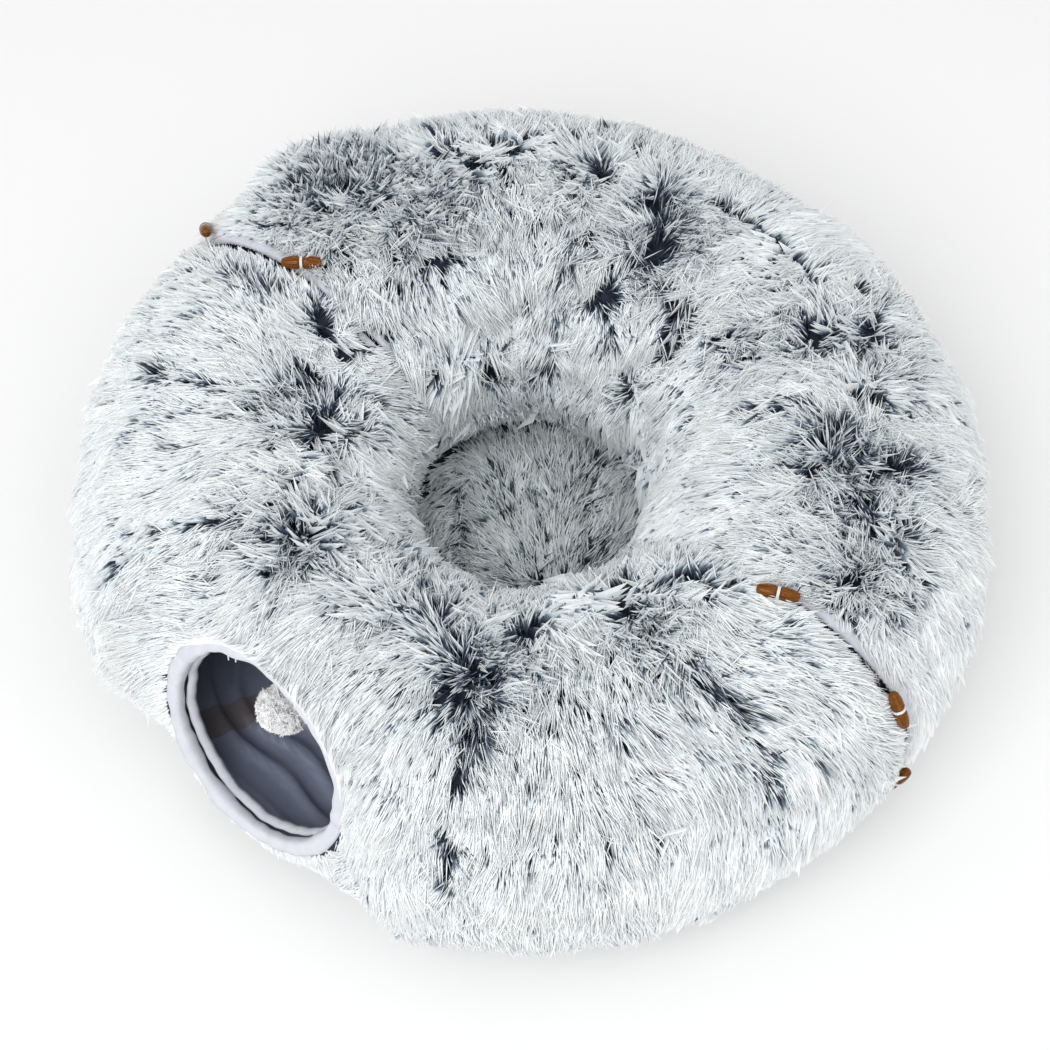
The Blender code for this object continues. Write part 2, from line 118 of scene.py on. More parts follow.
def towardsCentreLine(points):
    # Unit directions from points to the tube's centre line
    ring = unit(points * [1, 1, 0]) * tube["ringRadius"] + tube["centreHeight"] * up
    return unit(ring - points)


def circle(steps):
    return 2 * math.pi * np.arange(steps) / steps


def levelRing(radius, turn, height):
    # Points of a level circle, with a height for all or one for each
    return np.stack([radius * np.cos(turn), radius * np.sin(turn), height + 0 * turn], -1)


# Meshes and pieces

def makePiece(name, points, faces, material, body, smooth=True, uv=None, slot=None):
    # Faces are rows of 3 or 4 point numbers, and uv gives each point its place in the map
    points = np.ascontiguousarray(points, np.float32)
    faces = np.ascontiguousarray(faces, np.int32)
    mesh = bpy.data.meshes.new(name)
    mesh.vertices.add(len(points))
    mesh.vertices.foreach_set("co", points.ravel())
    mesh.loops.add(faces.size)
    mesh.loops.foreach_set("vertex_index", faces.ravel())
    mesh.polygons.add(len(faces))
    mesh.polygons.foreach_set("loop_start", np.arange(0, faces.size, faces.shape[1], dtype=np.int32))
    mesh.update(calc_edges=True)
    mesh.polygons.foreach_set("use_smooth", np.full(len(faces), smooth))
    if uv is not None:
        layer = mesh.uv_layers.new(name="OFBake")
        layer.uv.foreach_set("vector", np.asarray(uv, np.float32)[faces.ravel()].ravel())
    mesh.materials.append(material)
    piece = bpy.data.objects.new(name, mesh)
    bpy.context.scene.collection.objects.link(piece)
    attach(piece, body)
    return piece


def gridFaces(rows, columns, closeRows=False, closeColumns=True):
    # Quads over a grid of points numbered row by row
    row = np.arange(rows if closeRows else rows - 1)[:, None]
    column = np.arange(columns if closeColumns else columns - 1)[None, :]
    after = (row + 1) % rows * columns
    beside = (column + 1) % columns
    corners = [row * columns + column, row * columns + beside, after + beside, after + column]
    return np.stack(np.broadcast_arrays(*corners), -1).reshape(-1, 4)


def outwardFaces(points, faces):
    # Turns all faces over when the volume that they enclose comes out negative
    corners = points[faces]
    volume = 0
    for step in range(1, faces.shape[1] - 1):
        cross = np.cross(corners[:, step], corners[:, step + 1])
        volume += (corners[:, 0] * cross).sum()
    return faces if volume > 0 else faces[:, ::-1]


def weldedNode(name):
    # A CAD node's points with doubles merged, and its triangles
    mesh = cad[name].data
    points = np.empty(len(mesh.vertices) * 3, np.float32)
    mesh.vertices.foreach_get("co", points)
    corners = np.empty(len(mesh.loops), np.int32)
    mesh.loops.foreach_get("vertex_index", corners)
    points, number = np.unique(np.round(points.reshape(-1, 3), 6), axis=0, return_inverse=True)
    return points.astype(float), number.ravel()[corners].reshape(-1, 3)


def vertexNormals(points, triangles):
    # Each point's normal is the area-weighted sum of its triangles' normals
    corners = points[triangles]
    normal = np.cross(corners[:, 1] - corners[:, 0], corners[:, 2] - corners[:, 0])
    total = np.zeros_like(points)
    for corner in range(3):
        np.add.at(total, triangles[:, corner], normal)
    return unit(total)


def carriedProfile(centres, first, second, profile):
    # A closed profile of (first, second) offsets carried along a path of frames
    profile = np.asarray(profile)
    return (centres[:, None] + profile[..., 0:1] * first[:, None]
            + profile[..., 1:2] * second[:, None])


def stripMap(across, along):
    # Map places of a carried profile: its own width, and the length along its path
    return np.stack(np.broadcast_arrays(across[None, :], along[:, None]), -1).reshape(-1, 2)


def coverOutside(half):
    # The plush cover's points and triangles, and which triangles face away from the tunnel
    points, triangles = weldedNode(half + "_plush_cover")
    corners = points[triangles]
    faceNormal = unit(np.cross(corners[:, 1] - corners[:, 0], corners[:, 2] - corners[:, 0]))
    outer = -(faceNormal * towardsCentreLine(corners.mean(1))).sum(1) > 0.35
    return points, triangles, outer


def closedTube(path, radius, sides, planeNormal):
    # A round section carried round a closed flat path
    along = unit(np.roll(path, -1, axis=0) - np.roll(path, 1, axis=0))
    across = unit(np.cross(along, planeNormal))
    turn = circle(sides)
    ring = np.stack([radius * np.cos(turn), radius * np.sin(turn)], -1)
    normals = np.broadcast_to(planeNormal, path.shape)
    return carriedProfile(path, across, normals, ring)


def closedEnds(points, faces, rows, columns):
    # Closes both ends of a tube of points with quads that meet in a middle point, each over two
    # of the end's edges, so the tube has an even number of sides
    first, last = points[:columns].mean(0), points[-columns:].mean(0)
    points = np.concatenate([points, [first, last]])
    index = np.arange(0, columns, 2)
    middle = (index + 1) % columns
    after = (index + 2) % columns
    count = rows * columns
    low = np.stack([np.full(len(index), count), after, middle, index], -1)
    high = np.stack([np.full(len(index), count + 1), index, middle, after], -1)
    high[:, 1:] += (rows - 1) * columns
    return points, np.concatenate([faces, low, high])


def makeTurned(name, rings, material, body, slot, uv=None):
    # A closed solid from rings of points, one row for each, with both ends shut
    rows, sides = len(rings), rings.shape[1]
    points, faces = closedEnds(rings.reshape(-1, 3), gridFaces(rows, sides), rows, sides)
    return makePiece(name, points, outwardFaces(points, faces), material, body, uv=uv, slot=slot)


def ballRings(centre, radius, rows, sides, pole):
    # Rings of a ball from near one pole to near the other
    polar = np.linspace(pole, math.pi - pole, rows)[:, None]
    turn = circle(sides)
    ball = np.stack([np.sin(polar) * np.cos(turn), np.sin(polar) * np.sin(turn),
                     np.cos(polar) + 0 * turn], -1)
    return ball * radius + centre


def joinParts(parts):
    # One list of points and one of faces from several of both
    points, faces, count = [], [], 0
    for partPoints, partFaces in parts:
        points.append(partPoints)
        faces.append(outwardFaces(partPoints, partFaces) + count)
        count += len(partPoints)
    return np.concatenate(points), np.concatenate(faces)


# Materials

def makeMaterial(name, colour=(0.8, 0.8, 0.8), roughness=0.6, metallic=0.0):
    material = bpy.data.materials.new(name)
    material.use_nodes = True
    nodes, links = material.node_tree.nodes, material.node_tree.links
    shader = nodes["Principled BSDF"]
    shader.inputs["Base Color"].default_value = (*colour, 1)
    shader.inputs["Roughness"].default_value = roughness
    shader.inputs["Metallic"].default_value = metallic
    return material, nodes, links, shader


def addRamp(nodes, stops):
    ramp = nodes.new("ShaderNodeValToRGB")
    elements = ramp.color_ramp.elements
    while len(elements) < len(stops):
        elements.new(0.5)
    for element, (place, colour) in zip(elements, stops):
        element.position = place
        element.color = (*colour, 1)
    return ramp


def addMath(nodes, links, operation, first, second):
    node = nodes.new("ShaderNodeMath")
    node.operation = operation
    for socket, value in zip(node.inputs, (first, second)):
        if isinstance(value, (int, float)):
            socket.default_value = value
        else:
            links.new(value, socket)
    return node.outputs[0]


def ownMap(nodes):
    uvMap = nodes.new("ShaderNodeUVMap")
    uvMap.uv_map = "OFBake"
    return uvMap.outputs[0]


def objectPlace(nodes):
    return nodes.new("ShaderNodeTexCoord").outputs["Object"]


def splitPlace(nodes, links, place):
    parts = nodes.new("ShaderNodeSeparateXYZ")
    links.new(place, parts.inputs[0])
    return parts


def stretchPlace(nodes, links, place, scale):
    stretch = nodes.new("ShaderNodeMapping")
    stretch.inputs["Scale"].default_value = scale
    links.new(place, stretch.inputs["Vector"])
    return stretch.outputs[0]


def hairMaterial(name, stops, roughness, toneShift, toneGain):
    # The map's height runs from root to tip along each strand, and its width holds the tone
    material, nodes, links, shader = makeMaterial(name, roughness=roughness)
    parts = splitPlace(nodes, links, ownMap(nodes))
    tone = addMath(nodes, links, "SUBTRACT", parts.outputs[0], 0.5)
    shift = addMath(nodes, links, "MULTIPLY", tone, toneShift)
    place = addMath(nodes, links, "ADD", parts.outputs[1], shift)
    ramp = addRamp(nodes, stops)
    links.new(place, ramp.inputs[0])
    gain = addMath(nodes, links, "MULTIPLY", tone, toneGain)
    gain = addMath(nodes, links, "ADD", gain, 1.0)
    mix = nodes.new("ShaderNodeVectorMath")
    mix.operation = "SCALE"
    links.new(ramp.outputs[0], mix.inputs[0])
    links.new(gain, mix.inputs["Scale"])
    links.new(mix.outputs[0], shader.inputs["Base Color"])
    return material


furMaterial = hairMaterial("fur_hair", (
    (0.0, (0.016, 0.024, 0.046)), (0.26, (0.034, 0.052, 0.092)), (0.42, (0.20, 0.26, 0.32)),
    (0.52, (0.78, 0.84, 0.87)), (1.0, (0.97, 0.985, 0.99))), 0.75, 0.95, 0.06)
matMaterial = hairMaterial("mat_hair", (
    (0.0, (0.010, 0.015, 0.028)), (0.34, (0.018, 0.028, 0.046)), (0.46, (0.18, 0.23, 0.26)),
    (0.58, (0.72, 0.80, 0.83)), (1.0, (0.97, 0.99, 0.99))), 0.8, 0.62, 0.12)
pompomMaterial = hairMaterial("pompom_hair", (
    (0.0, (0.80, 0.81, 0.83)), (0.5, (0.94, 0.94, 0.95)), (1.0, (0.99, 0.99, 0.99))), 0.85, 0.1, 0.08)
skinMaterial = makeMaterial("fur_backing", (0.022, 0.032, 0.055), 0.95)[0]
steelMaterial = makeMaterial("spring_steel", (0.55, 0.56, 0.58), 0.3, 1.0)[0]
pompomCoreMaterial = makeMaterial("pompom_core", (0.72, 0.73, 0.75), 0.95)[0]
baseMaterial = makeMaterial("base_cloth", (0.04, 0.045, 0.06), 0.85)[0]
print("materials made")


def addBump(nodes, links, shader, heightSocket, strength, distance):
    bump = nodes.new("ShaderNodeBump")
    bump.inputs["Strength"].default_value = strength
    bump.inputs["Distance"].default_value = distance
    links.new(heightSocket, bump.inputs["Height"])
    links.new(bump.outputs[0], shader.inputs["Normal"])


def addNoise(nodes, links, place, scale, detail=3.0):
    noise = nodes.new("ShaderNodeTexNoise")
    noise.inputs["Scale"].default_value = scale
    noise.inputs["Detail"].default_value = detail
    links.new(place, noise.inputs["Vector"])
    return noise.outputs[0]


def addMix(nodes, links, share, first, second):
    # Colours may be plain values or sockets
    mix = nodes.new("ShaderNodeMix")
    mix.data_type = "RGBA"
    for socket, value in ((mix.inputs[0], share), (mix.inputs[6], first), (mix.inputs[7], second)):
        if isinstance(value, bpy.types.NodeSocket):
            links.new(value, socket)
        elif isinstance(value, tuple):
            socket.default_value = (*value, 1)
        else:
            socket.default_value = value
    return mix.outputs[2]


# Satin lining with the darker casings that hold the hoops, as angles along the ring
casings = dict(angles=(30, 60, 90, 120, 150, 207, 250.5, 297, 330), halfWidth=2.6)


def liningMaterial():
    material, nodes, links, shader = makeMaterial("satin_lining", (0.03, 0.035, 0.06), 0.34)
    place = objectPlace(nodes)
    parts = splitPlace(nodes, links, place)
    angle = addMath(nodes, links, "ARCTAN2", parts.outputs[1], parts.outputs[0])
    total = None
    for casing in casings["angles"]:
        centre = math.radians(casing if casing <= 180 else casing - 360)
        offset = addMath(nodes, links, "SUBTRACT", angle, centre)
        offset = addMath(nodes, links, "ABSOLUTE", offset, 0.0)
        inside = addMath(nodes, links, "LESS_THAN", offset, math.radians(casings["halfWidth"]))
        total = inside if total is None else addMath(nodes, links, "MAXIMUM", total, inside)
    cloud = addNoise(nodes, links, place, 9.0)
    satin = addMix(nodes, links, cloud, (0.15, 0.17, 0.25), (0.36, 0.40, 0.52))
    colour = addMix(nodes, links, total, satin, (0.21, 0.185, 0.195))
    links.new(colour, shader.inputs["Base Color"])
    wrinkles = addNoise(nodes, links, place, 55.0)
    addBump(nodes, links, shader, wrinkles, 0.35, 0.004)
    return material


# Binding cloth: pitch of its threads in metres, and wrinkles across and along it
tapeCloth = dict(threadPitch=(0.0007, 0.0009), wrinkles=(60, 260, 1))


def tapeMaterial():
    # The map's width runs across the folded tape and its height along it, both in metres. Past its
    # turned edge, where the width is below 0, the tape is painted near black: partly the dark
    # lining's own colour, partly painted shade in the seam's gap.
    material, nodes, links, shader = makeMaterial("binding_cloth", (0.74, 0.76, 0.84), 0.8)
    place = ownMap(nodes)
    parts = splitPlace(nodes, links, place)
    weave = []
    for output, pitch in zip(parts.outputs, tapeCloth["threadPitch"]):
        turns = addMath(nodes, links, "MULTIPLY", output, 2 * math.pi / pitch)
        weave.append(addMath(nodes, links, "SINE", turns, 0.0))
    threads = addMath(nodes, links, "MULTIPLY", weave[0], weave[1])
    cloud = addNoise(nodes, links, objectPlace(nodes), 60.0)
    pale = addMix(nodes, links, cloud, (0.64, 0.66, 0.74), (0.84, 0.85, 0.91))
    shadeAndLiningMask = addMath(nodes, links, "LESS_THAN", parts.outputs[0], 0.0)
    colour = addMix(nodes, links, shadeAndLiningMask, pale, (0.012, 0.014, 0.024))
    links.new(colour, shader.inputs["Base Color"])
    wrinkles = addNoise(nodes, links, stretchPlace(nodes, links, place, tapeCloth["wrinkles"]),
                        1.0, 4.0)
    height = addMath(nodes, links, "MULTIPLY", threads, 0.06)
    height = addMath(nodes, links, "ADD", height, wrinkles)
    addBump(nodes, links, shader, height, 0.7, 0.0022)
    return material


def woodMaterial():
    # The map's height runs along the toggle and its width round it
    material, nodes, links, shader = makeMaterial("toggle_wood", (0.27, 0.10, 0.03), 0.3)
    shader.inputs["Specular IOR Level"].default_value = 0.12
    shader.inputs["Coat Weight"].default_value = 0.16
    shader.inputs["Coat Roughness"].default_value = 0.08
    place = stretchPlace(nodes, links, ownMap(nodes), (7, 0.6, 1))
    grain = addNoise(nodes, links, place, 3.0, 5.0)
    fine = addNoise(nodes, links, place, 14.0, 2.0)
    both = addMath(nodes, links, "MULTIPLY", grain, fine)
    ramp = addRamp(nodes, ((0.14, (0.050, 0.013, 0.002)), (0.26, (0.17, 0.052, 0.004)),
                           (0.42, (0.38, 0.14, 0.010))))
    links.new(both, ramp.inputs[0])
    links.new(ramp.outputs[0], shader.inputs["Base Color"])
    addBump(nodes, links, shader, both, 0.15, 0.0004)
    return material


def cordMaterial():
    # Fine twisted threads in slanting waves
    material, nodes, links, shader = makeMaterial("white_cord", (0.84, 0.84, 0.82), 0.85)
    place = objectPlace(nodes)
    slant = nodes.new("ShaderNodeVectorMath")
    slant.operation = "DOT_PRODUCT"
    slant.inputs[1].default_value = (2400, 1900, 3100)
    links.new(place, slant.inputs[0])
    twist = addMath(nodes, links, "SINE", slant.outputs["Value"], 0.0)
    colour = addMix(nodes, links, addNoise(nodes, links, place, 300.0), (0.74, 0.74, 0.73),
                    (0.92, 0.92, 0.90))
    links.new(colour, shader.inputs["Base Color"])
    addBump(nodes, links, shader, twist, 0.4, 0.0002)
    return material


satinCloth = liningMaterial()
bindingCloth = tapeMaterial()
toggleWood = woodMaterial()
cordCotton = cordMaterial()

# The camera at the photograph's angle
view = dict(target=(0.0193, -0.0293, 0.14), turn=37.5, elevation=62, distance=1.6, lens=63.43)
turn, rise = math.radians(view["turn"]), math.radians(view["elevation"])
back = Vector((math.sin(turn) * math.cos(rise), -math.cos(turn) * math.cos(rise), math.sin(rise)))
camera = bpy.data.objects.new("camera", bpy.data.cameras.new("camera"))
bpy.context.scene.collection.objects.link(camera)
camera.location = Vector(view["target"]) + view["distance"] * back
camera.rotation_mode = "QUATERNION"
camera.rotation_quaternion = back.to_track_quat("Z", "Y")
camera.data.lens = view["lens"]
camera.data.sensor_width = 36
camera.data.clip_end = 50
bpy.context.scene.camera = camera

# The peephole's plane: its centre, the directions in it and the one out of it
peep = dict(turn=-4.5, tilt=23, reach=0.33, height=0.152, inner=0.087, outer=0.099, clear=0.0962)
peepTurn, peepTilt = math.radians(peep["turn"]), math.radians(peep["tilt"])
peepOutward = np.array([math.sin(peepTurn), -math.cos(peepTurn), 0])
peepSide = np.cross(up, peepOutward)
peepNormal = math.cos(peepTilt) * peepOutward + math.sin(peepTilt) * up
peepUp = np.cross(peepNormal, peepSide)
peepCentre = peep["reach"] * peepOutward + peep["height"] * up


def aroundPeephole(points):
    # Distance from the peephole's axis, height over its plane and the unit direction outwards
    offset = points - peepCentre
    height = offset @ peepNormal
    flat = offset - height[:, None] * peepNormal
    distance = np.linalg.norm(flat, axis=1)
    return distance, height, flat / np.maximum(distance, 1e-9)[:, None]


# Fur: it grows from the backing in clumps of strands. Each strand is a thin closed sliver of four
# triangles, a root, two middle points and a tip, bent at the middle. Angles are in degrees.
fur = dict(
    clumps=23000, strandsPerClump=8, sectors=5, pileDepth=0.0095, deepest=0.0123, shallowest=0.002,
    length=0.030, lengthSpread=0.16, width=0.00087, widthSpread=0.25, midShare=0.42, rootLift=47,
    tipLift=8, liftSpread=7, clumpSpread=0.0027, gather=0.62, looseLift=60, clumpTurn=7,
    strandTurn=6, swirl=12, smallSwirl=8, bendSpread=0.0007, strays=0.02, roughStrays=0.09,
    strayTurn=30, strayTone=0.25, droopRadius=0.135, crest=0.2745, floorGap=0.0007,
    undersideLength=0.62, undersideShare=0.22,
    # the parting along the ring's top, as a section angle of each half
    part=dict(front=121, rear=72), partWander=5, partBlend=9, partLift=18,
    tousleTurn=50, tousleLift=32, whorlPull=0.9, whorlStretch=1.9, whorlCore=0.55, whorlLift=-7,
    whorlTip=12, creaseLean=0.55, creaseReach=0.012, creaseCore=0.0045, creaseWander=0.006,
    notchSize=(0.011, 0.045), notchShort=0.45, notchFlat=0.35,
    # round the toggles the fur stands up, and within the centre hole it lies down
    nestReach=0.026, nestLift=72, nestTip=24, holeTip=0.5,
    # at the seams it leans over the gap, or ends short of the binding where the seam is open
    lap=0.005, lapSpread=0.0013, bareTape=dict(front=0.0054, rear=0.0080), bareRight=0.7,
    seamClear=2.95, seamLean=1.2, openLean=0.9, openShort=0.4, seamReach=0.030, seamPull=0.85)

# The fur round the peephole: how far its rim, its left side and the fur below and beside it
# reach, and how the fur leans, shortens and lifts there
rimFur = dict(reach=(0.100, 0.120), height=0.05, left=(0.06, 0.1), leftReach=0.15,
              below=(0.2, 0.8), belowReach=(0.12, 0.17), beside=(0.5, 0.9),
              besideReach=(0.13, 0.18), paleReach=(0.104, 0.125), lean=0.35, leftLean=0.6,
              short=0.3, belowShort=0.45, besideLong=0.15, belowFlat=0.3, stand=14, besideTip=12)

# Tones: their mean and spreads, and what darkens or lightens them. The darkening in tousled areas,
# creases, whorls and pressed notches is painted shade, and at whorls partly the dark roots showing as
# well
furTone = dict(mean=0.72, wave=0.05, spread=0.08, calm=0.10, tousle=0.42, streak=0.16, whorlRootsAndShade=0.36,
               crease=0.48, notchShade=0.2, rim=0.14, belowRim=0.4, strand=0.52, strandCalm=0.5,
               strandStreak=0.8, strandTousle=0.5)

# Whorls: azimuth and section angle in degrees, radius in metres, strength
whorls = (
    (185, 117, 0.026, 1), (208, 122, 0.022, 1), (161, 80, 0.018, 0.7), (163, 61, 0.018, 0.7),
    (156, 109, 0.02, 0.9), (142, 77, 0.018, 0.7), (135, 83, 0.016, 0.7), (129, 72, 0.016, 0.6),
    (122, 73, 0.015, 0.5), (116, 88, 0.02, 0.9), (98, 97, 0.026, 1), (94, 112, 0.022, 1),
    (104, 124, 0.02, 0.9), (79, 121, 0.022, 1), (166, 155, 0.017, 0.9), (144, 161, 0.017, 0.9),
    (121, 159, 0.017, 0.9), (80, 158, 0.016, 0.8), (62, 108, 0.018, 0.7), (66, 118, 0.016, 0.6),
    (59, 84, 0.024, 0.9), (62, 65, 0.02, 0.8), (28, 78, 0.03, 1), (30, 92, 0.02, 0.8),
    (53, 70, 0.022, 0.8), (225, 125, 0.022, 0.9), (216, 121, 0.018, 0.9), (213, 136, 0.016, 0.8),
    (251, 119, 0.018, 0.6), (246, 104, 0.018, 0.5), (269, 109, 0.018, 0.5), (276, 123, 0.022, 0.9),
    (285, 109, 0.024, 0.9), (296, 102, 0.024, 1), (308, 119, 0.026, 1), (336, 125, 0.02, 0.8),
    (349, 122, 0.02, 0.8), (353, 110, 0.016, 0.6), (3, 109, 0.016, 0.6), (11, 61, 0.02, 0.7),
    (19, 67, 0.018, 0.7))

# Each of them is broken up into three smaller ones round its place
whorlParts = np.repeat(np.array(whorls, float), 3, axis=0)
whorlScatter = rng.uniform(-0.8, 0.8, (len(whorlParts), 2)) * whorlParts[:, 2:3]
whorlParts[:, 0] += np.degrees(whorlScatter[:, 0] / tube["ringRadius"])
whorlParts[:, 1] += np.degrees(whorlScatter[:, 1] / tube["meanRadius"])
whorlParts[:, 2] *= rng.uniform(0.5, 0.85, len(whorlParts))

# Creases, where the fur parts over a hoop: azimuth, section from and to, strength
creases = ((188, 55, 100, 0.7), (207, 62, 106, 0.9), (43, 40, 116, 1.1), (237, 54, 92, 0.9),
           (298, 24, 106, 1.3), (338.5, 48, 104, 0.8), (92, 100, 140, 0.7), (112, 105, 145, 0.6),
           (322, 40, 80, 0.4), (350, 60, 92, 0.4))

# Tousled areas: azimuth, section, radius, strength
tousles = ((28, 80, 0.06, 1), (12, 72, 0.045, 1), (161, 68, 0.065, 1.9), (150, 88, 0.045, 1.7),
           (246, 112, 0.05, 1), (98, 95, 0.055, 0.9), (62, 95, 0.05, 0.7), (45, 70, 0.045, 0.7),
           (300, 108, 0.04, 1), (336, 112, 0.035, 1), (118, 86, 0.035, 0.8), (208, 112, 0.035, 1),
           (275, 118, 0.035, 1))

# Places on the centre hole's rim where the fur is pressed in: azimuth, section
notches = ((177, 178), (126, 180), (61, 167), (36, 163), (291, 142), (254, 154))

# The fields of random waves, by wavelength in metres
swirlWaves = makeWaves(0.13)
smallWaves = makeWaves(0.035)
wanderWaves = makeWaves(0.16)
lengthWaves = makeWaves(0.05)
toneWaves = makeWaves(0.07)
streakTurns = (rng.uniform(45, 120, 9), rng.uniform(-6, 6, 9))
streakPhases = rng.uniform(0, 2 * math.pi, 9)


def scatterRoots(points, triangles, density, count):
    # Random places on the triangles, by area times density, with the normals there
    corners = points[triangles]
    cross = np.cross(corners[:, 1] - corners[:, 0], corners[:, 2] - corners[:, 0])
    area = np.linalg.norm(cross, axis=1)
    chance = area * density(corners.mean(1))
    chosen = rng.choice(len(triangles), count, p=chance / chance.sum())
    first, second = np.sqrt(rng.random((count, 1))), rng.random((count, 1))
    weights = np.concatenate([1 - first, first * (1 - second), first * second], 1)
    normals = vertexNormals(points, triangles)
    place = (corners[chosen] * weights[..., None]).sum(1)
    normal = unit((normals[triangles[chosen]] * weights[..., None]).sum(1))
    return place, normal


def strandMesh(roots, mids, tips, width, tone, midShare):
    # Four points and four triangles for each strand. The map holds its tone, a little apart
    # across the strand, and the share of its length.
    forward = unit(tips - roots)
    lifted = unit(mids - 0.5 * (roots + tips))
    side = unit(np.cross(lifted, forward)) * (width / 2)[:, None]
    points = np.stack([roots, mids + side, mids - side, tips], 1).reshape(-1, 3)
    faces = np.array([(0, 2, 1), (3, 1, 2), (0, 1, 3), (0, 3, 2)])
    faces = (4 * np.arange(len(roots))[:, None, None] + faces).reshape(-1, 3)
    tone = np.clip(tone, 0.02, 0.98)
    uv = np.stack([np.stack([tone, tone - 0.015, tone + 0.015, tone], 1),
                   np.broadcast_to([0.01, midShare, midShare, 0.99], (len(roots), 4))], -1)
    return points, faces, uv.reshape(-1, 2)


def growStrands(root, normal, comb, rootLift, tipLift, length, settings, tones, strays, droop):
    # Clumps of strands: the strands start round the clump's root and draw in to its tip. The
    # tones are each clump's own and how far its strands differ.
    clumps, each = len(root), settings["strandsPerClump"]
    side = np.cross(normal, comb)

    def bent(start, direction, firstLift, secondLift, size):
        # A first part and a second, each at its own lift, and both drooping with their reach
        share = settings["midShare"]
        rise = [np.sin(np.radians(firstLift))[..., None], np.sin(np.radians(secondLift))[..., None]]
        run = [np.cos(np.radians(firstLift))[..., None], np.cos(np.radians(secondLift))[..., None]]
        size = size[..., None]
        outward = normal if direction.ndim == 2 else normal[:, None]
        middle = start + share * size * (run[0] * direction + rise[0] * outward)
        end = middle + (1 - share) * size * (run[1] * direction + rise[1] * outward)
        travel = share * size * run[0]
        middle = middle - travel ** 2 / 2 * droop * outward
        travel = travel + (1 - share) * size * run[1]
        return middle, end - travel ** 2 / 2 * droop * outward

    clumpMid, clumpTip = bent(root, comb, rootLift, tipLift, length)
    scatter = rng.normal(size=(clumps, each, 2)) * settings["clumpSpread"]
    start = root[:, None] + scatter[..., :1] * comb[:, None] + scatter[..., 1:] * side[:, None]
    stray = rng.random((clumps, each, 1)) < strays[:, None, None]
    turned = np.where(stray, settings["strayTurn"], settings["strandTurn"])
    turned = np.radians(turned * rng.normal(size=(clumps, each, 1)))
    direction = np.cos(turned) * comb[:, None] + np.sin(turned) * side[:, None]
    lifts = rng.normal(size=(clumps, each)) * settings["liftSpread"]
    gather = settings["gather"] * (1 - np.clip(tipLift / settings["looseLift"], 0, 0.7))
    size = length[:, None] * (1 + rng.normal(size=(clumps, each)) * settings["lengthSpread"])
    middle, tip = bent(start, direction, rootLift[:, None] + lifts, tipLift[:, None] + lifts, size)
    for own, shared, share in ((middle, clumpMid, 0.4), (tip, clumpTip, 1.0)):
        offset = own - shared[:, None]
        lengthways = dot(offset, comb[:, None]) * comb[:, None]
        own -= share * gather[:, None, None] * (offset - lengthways) * ~stray
    middle += rng.normal(size=(clumps, each, 1)) * settings["bendSpread"] * side[:, None]
    tone, toneSpread = tones
    strandTone = tone[:, None] + toneSpread[:, None] * (rng.random((clumps, each)) - 0.5)
    strandTone += settings["strayTone"] * stray[..., 0]
    flat = (clumps * each, 3)
    return start.reshape(flat), middle.reshape(flat), tip.reshape(flat), strandTone.ravel()


def rootDepth(half, points):
    # Over a hollow in the wall the pile is rooted less deep, and at the peephole's binding too
    depth = np.clip(fur["deepest"] - wallInset(points), fur["shallowest"], fur["pileDepth"])
    if half == "rear":
        return depth
    distance = aroundPeephole(points)[0]
    beside = fur["pileDepth"] * (0.3 + 0.7 * smoothStep(distance, 0.100, 0.122))
    share = smoothStep(distance, 0.13, 0.17)
    return share * depth + (1 - share) * beside


def combWall(half, azimuth, section, reach, root):
    # How far each clump is combed along the ring and up its wall, and its share of each feature
    part = fur["part"][half] + fur["partWander"] * waveField(root, wanderWaves)
    down = np.tanh((section - part) / fur["partBlend"])
    across, tousle, stand, core, pressed = np.zeros((5, len(root)))
    for place, low, high, strength in creases:
        offset = np.radians(wrapped(azimuth - place)) * reach
        window = smoothStep(section, low - 8, low) * (1 - smoothStep(section, high, high + 8))
        offset += fur["creaseWander"] * waveField(root, wanderWaves)
        window = window * np.clip(0.85 + 0.45 * waveField(root, lengthWaves), 0.15, 1.2)
        away = np.sign(offset) * np.exp(-np.abs(offset) / fur["creaseReach"])
        across += fur["creaseLean"] * strength * window * away
        stand = np.maximum(
            stand, strength * window * np.exp(-(offset / fur["creaseCore"]) ** 2))
    for place, level, radius, strength in tousles:
        right, above = fromPlace(azimuth, section, reach, place, level)
        near = strength * np.exp(-(right ** 2 + above ** 2) / radius ** 2)
        tousle = np.maximum(tousle, near)
    wide, tall = fur["notchSize"]
    for place, level in notches:
        right, above = fromPlace(azimuth, section, reach, place, level)
        pressed = np.maximum(pressed, np.exp(-(right / wide) ** 2 - (above / tall) ** 2))
    for place, level, radius, strength in whorlParts:
        right, above = fromPlace(azimuth, section, reach, place, level)
        # Each is a short parting line at its own slant, and distances along it count for less
        tilt = math.radians(37 * place + 53 * level)
        cosine, sine = math.cos(tilt), math.sin(tilt)
        lengthways = (cosine * right + sine * above) / fur["whorlStretch"]
        sideways = cosine * above - sine * right
        distance = np.hypot(lengthways, sideways) + 1e-6
        pull = fur["whorlPull"] * strength * np.exp(-(distance / radius) ** 2)
        lengthways = lengthways / fur["whorlStretch"]
        size = np.hypot(lengthways, sideways) + 1e-6
        across = (1 - pull) * across + pull * (cosine * lengthways - sine * sideways) / size
        down = (1 - pull) * down + pull * (sine * lengthways + cosine * sideways) / size
        core = np.maximum(
            core, strength * np.exp(-(distance / (fur["whorlCore"] * radius)) ** 2))
    return across, down, tousle, stand, core, pressed


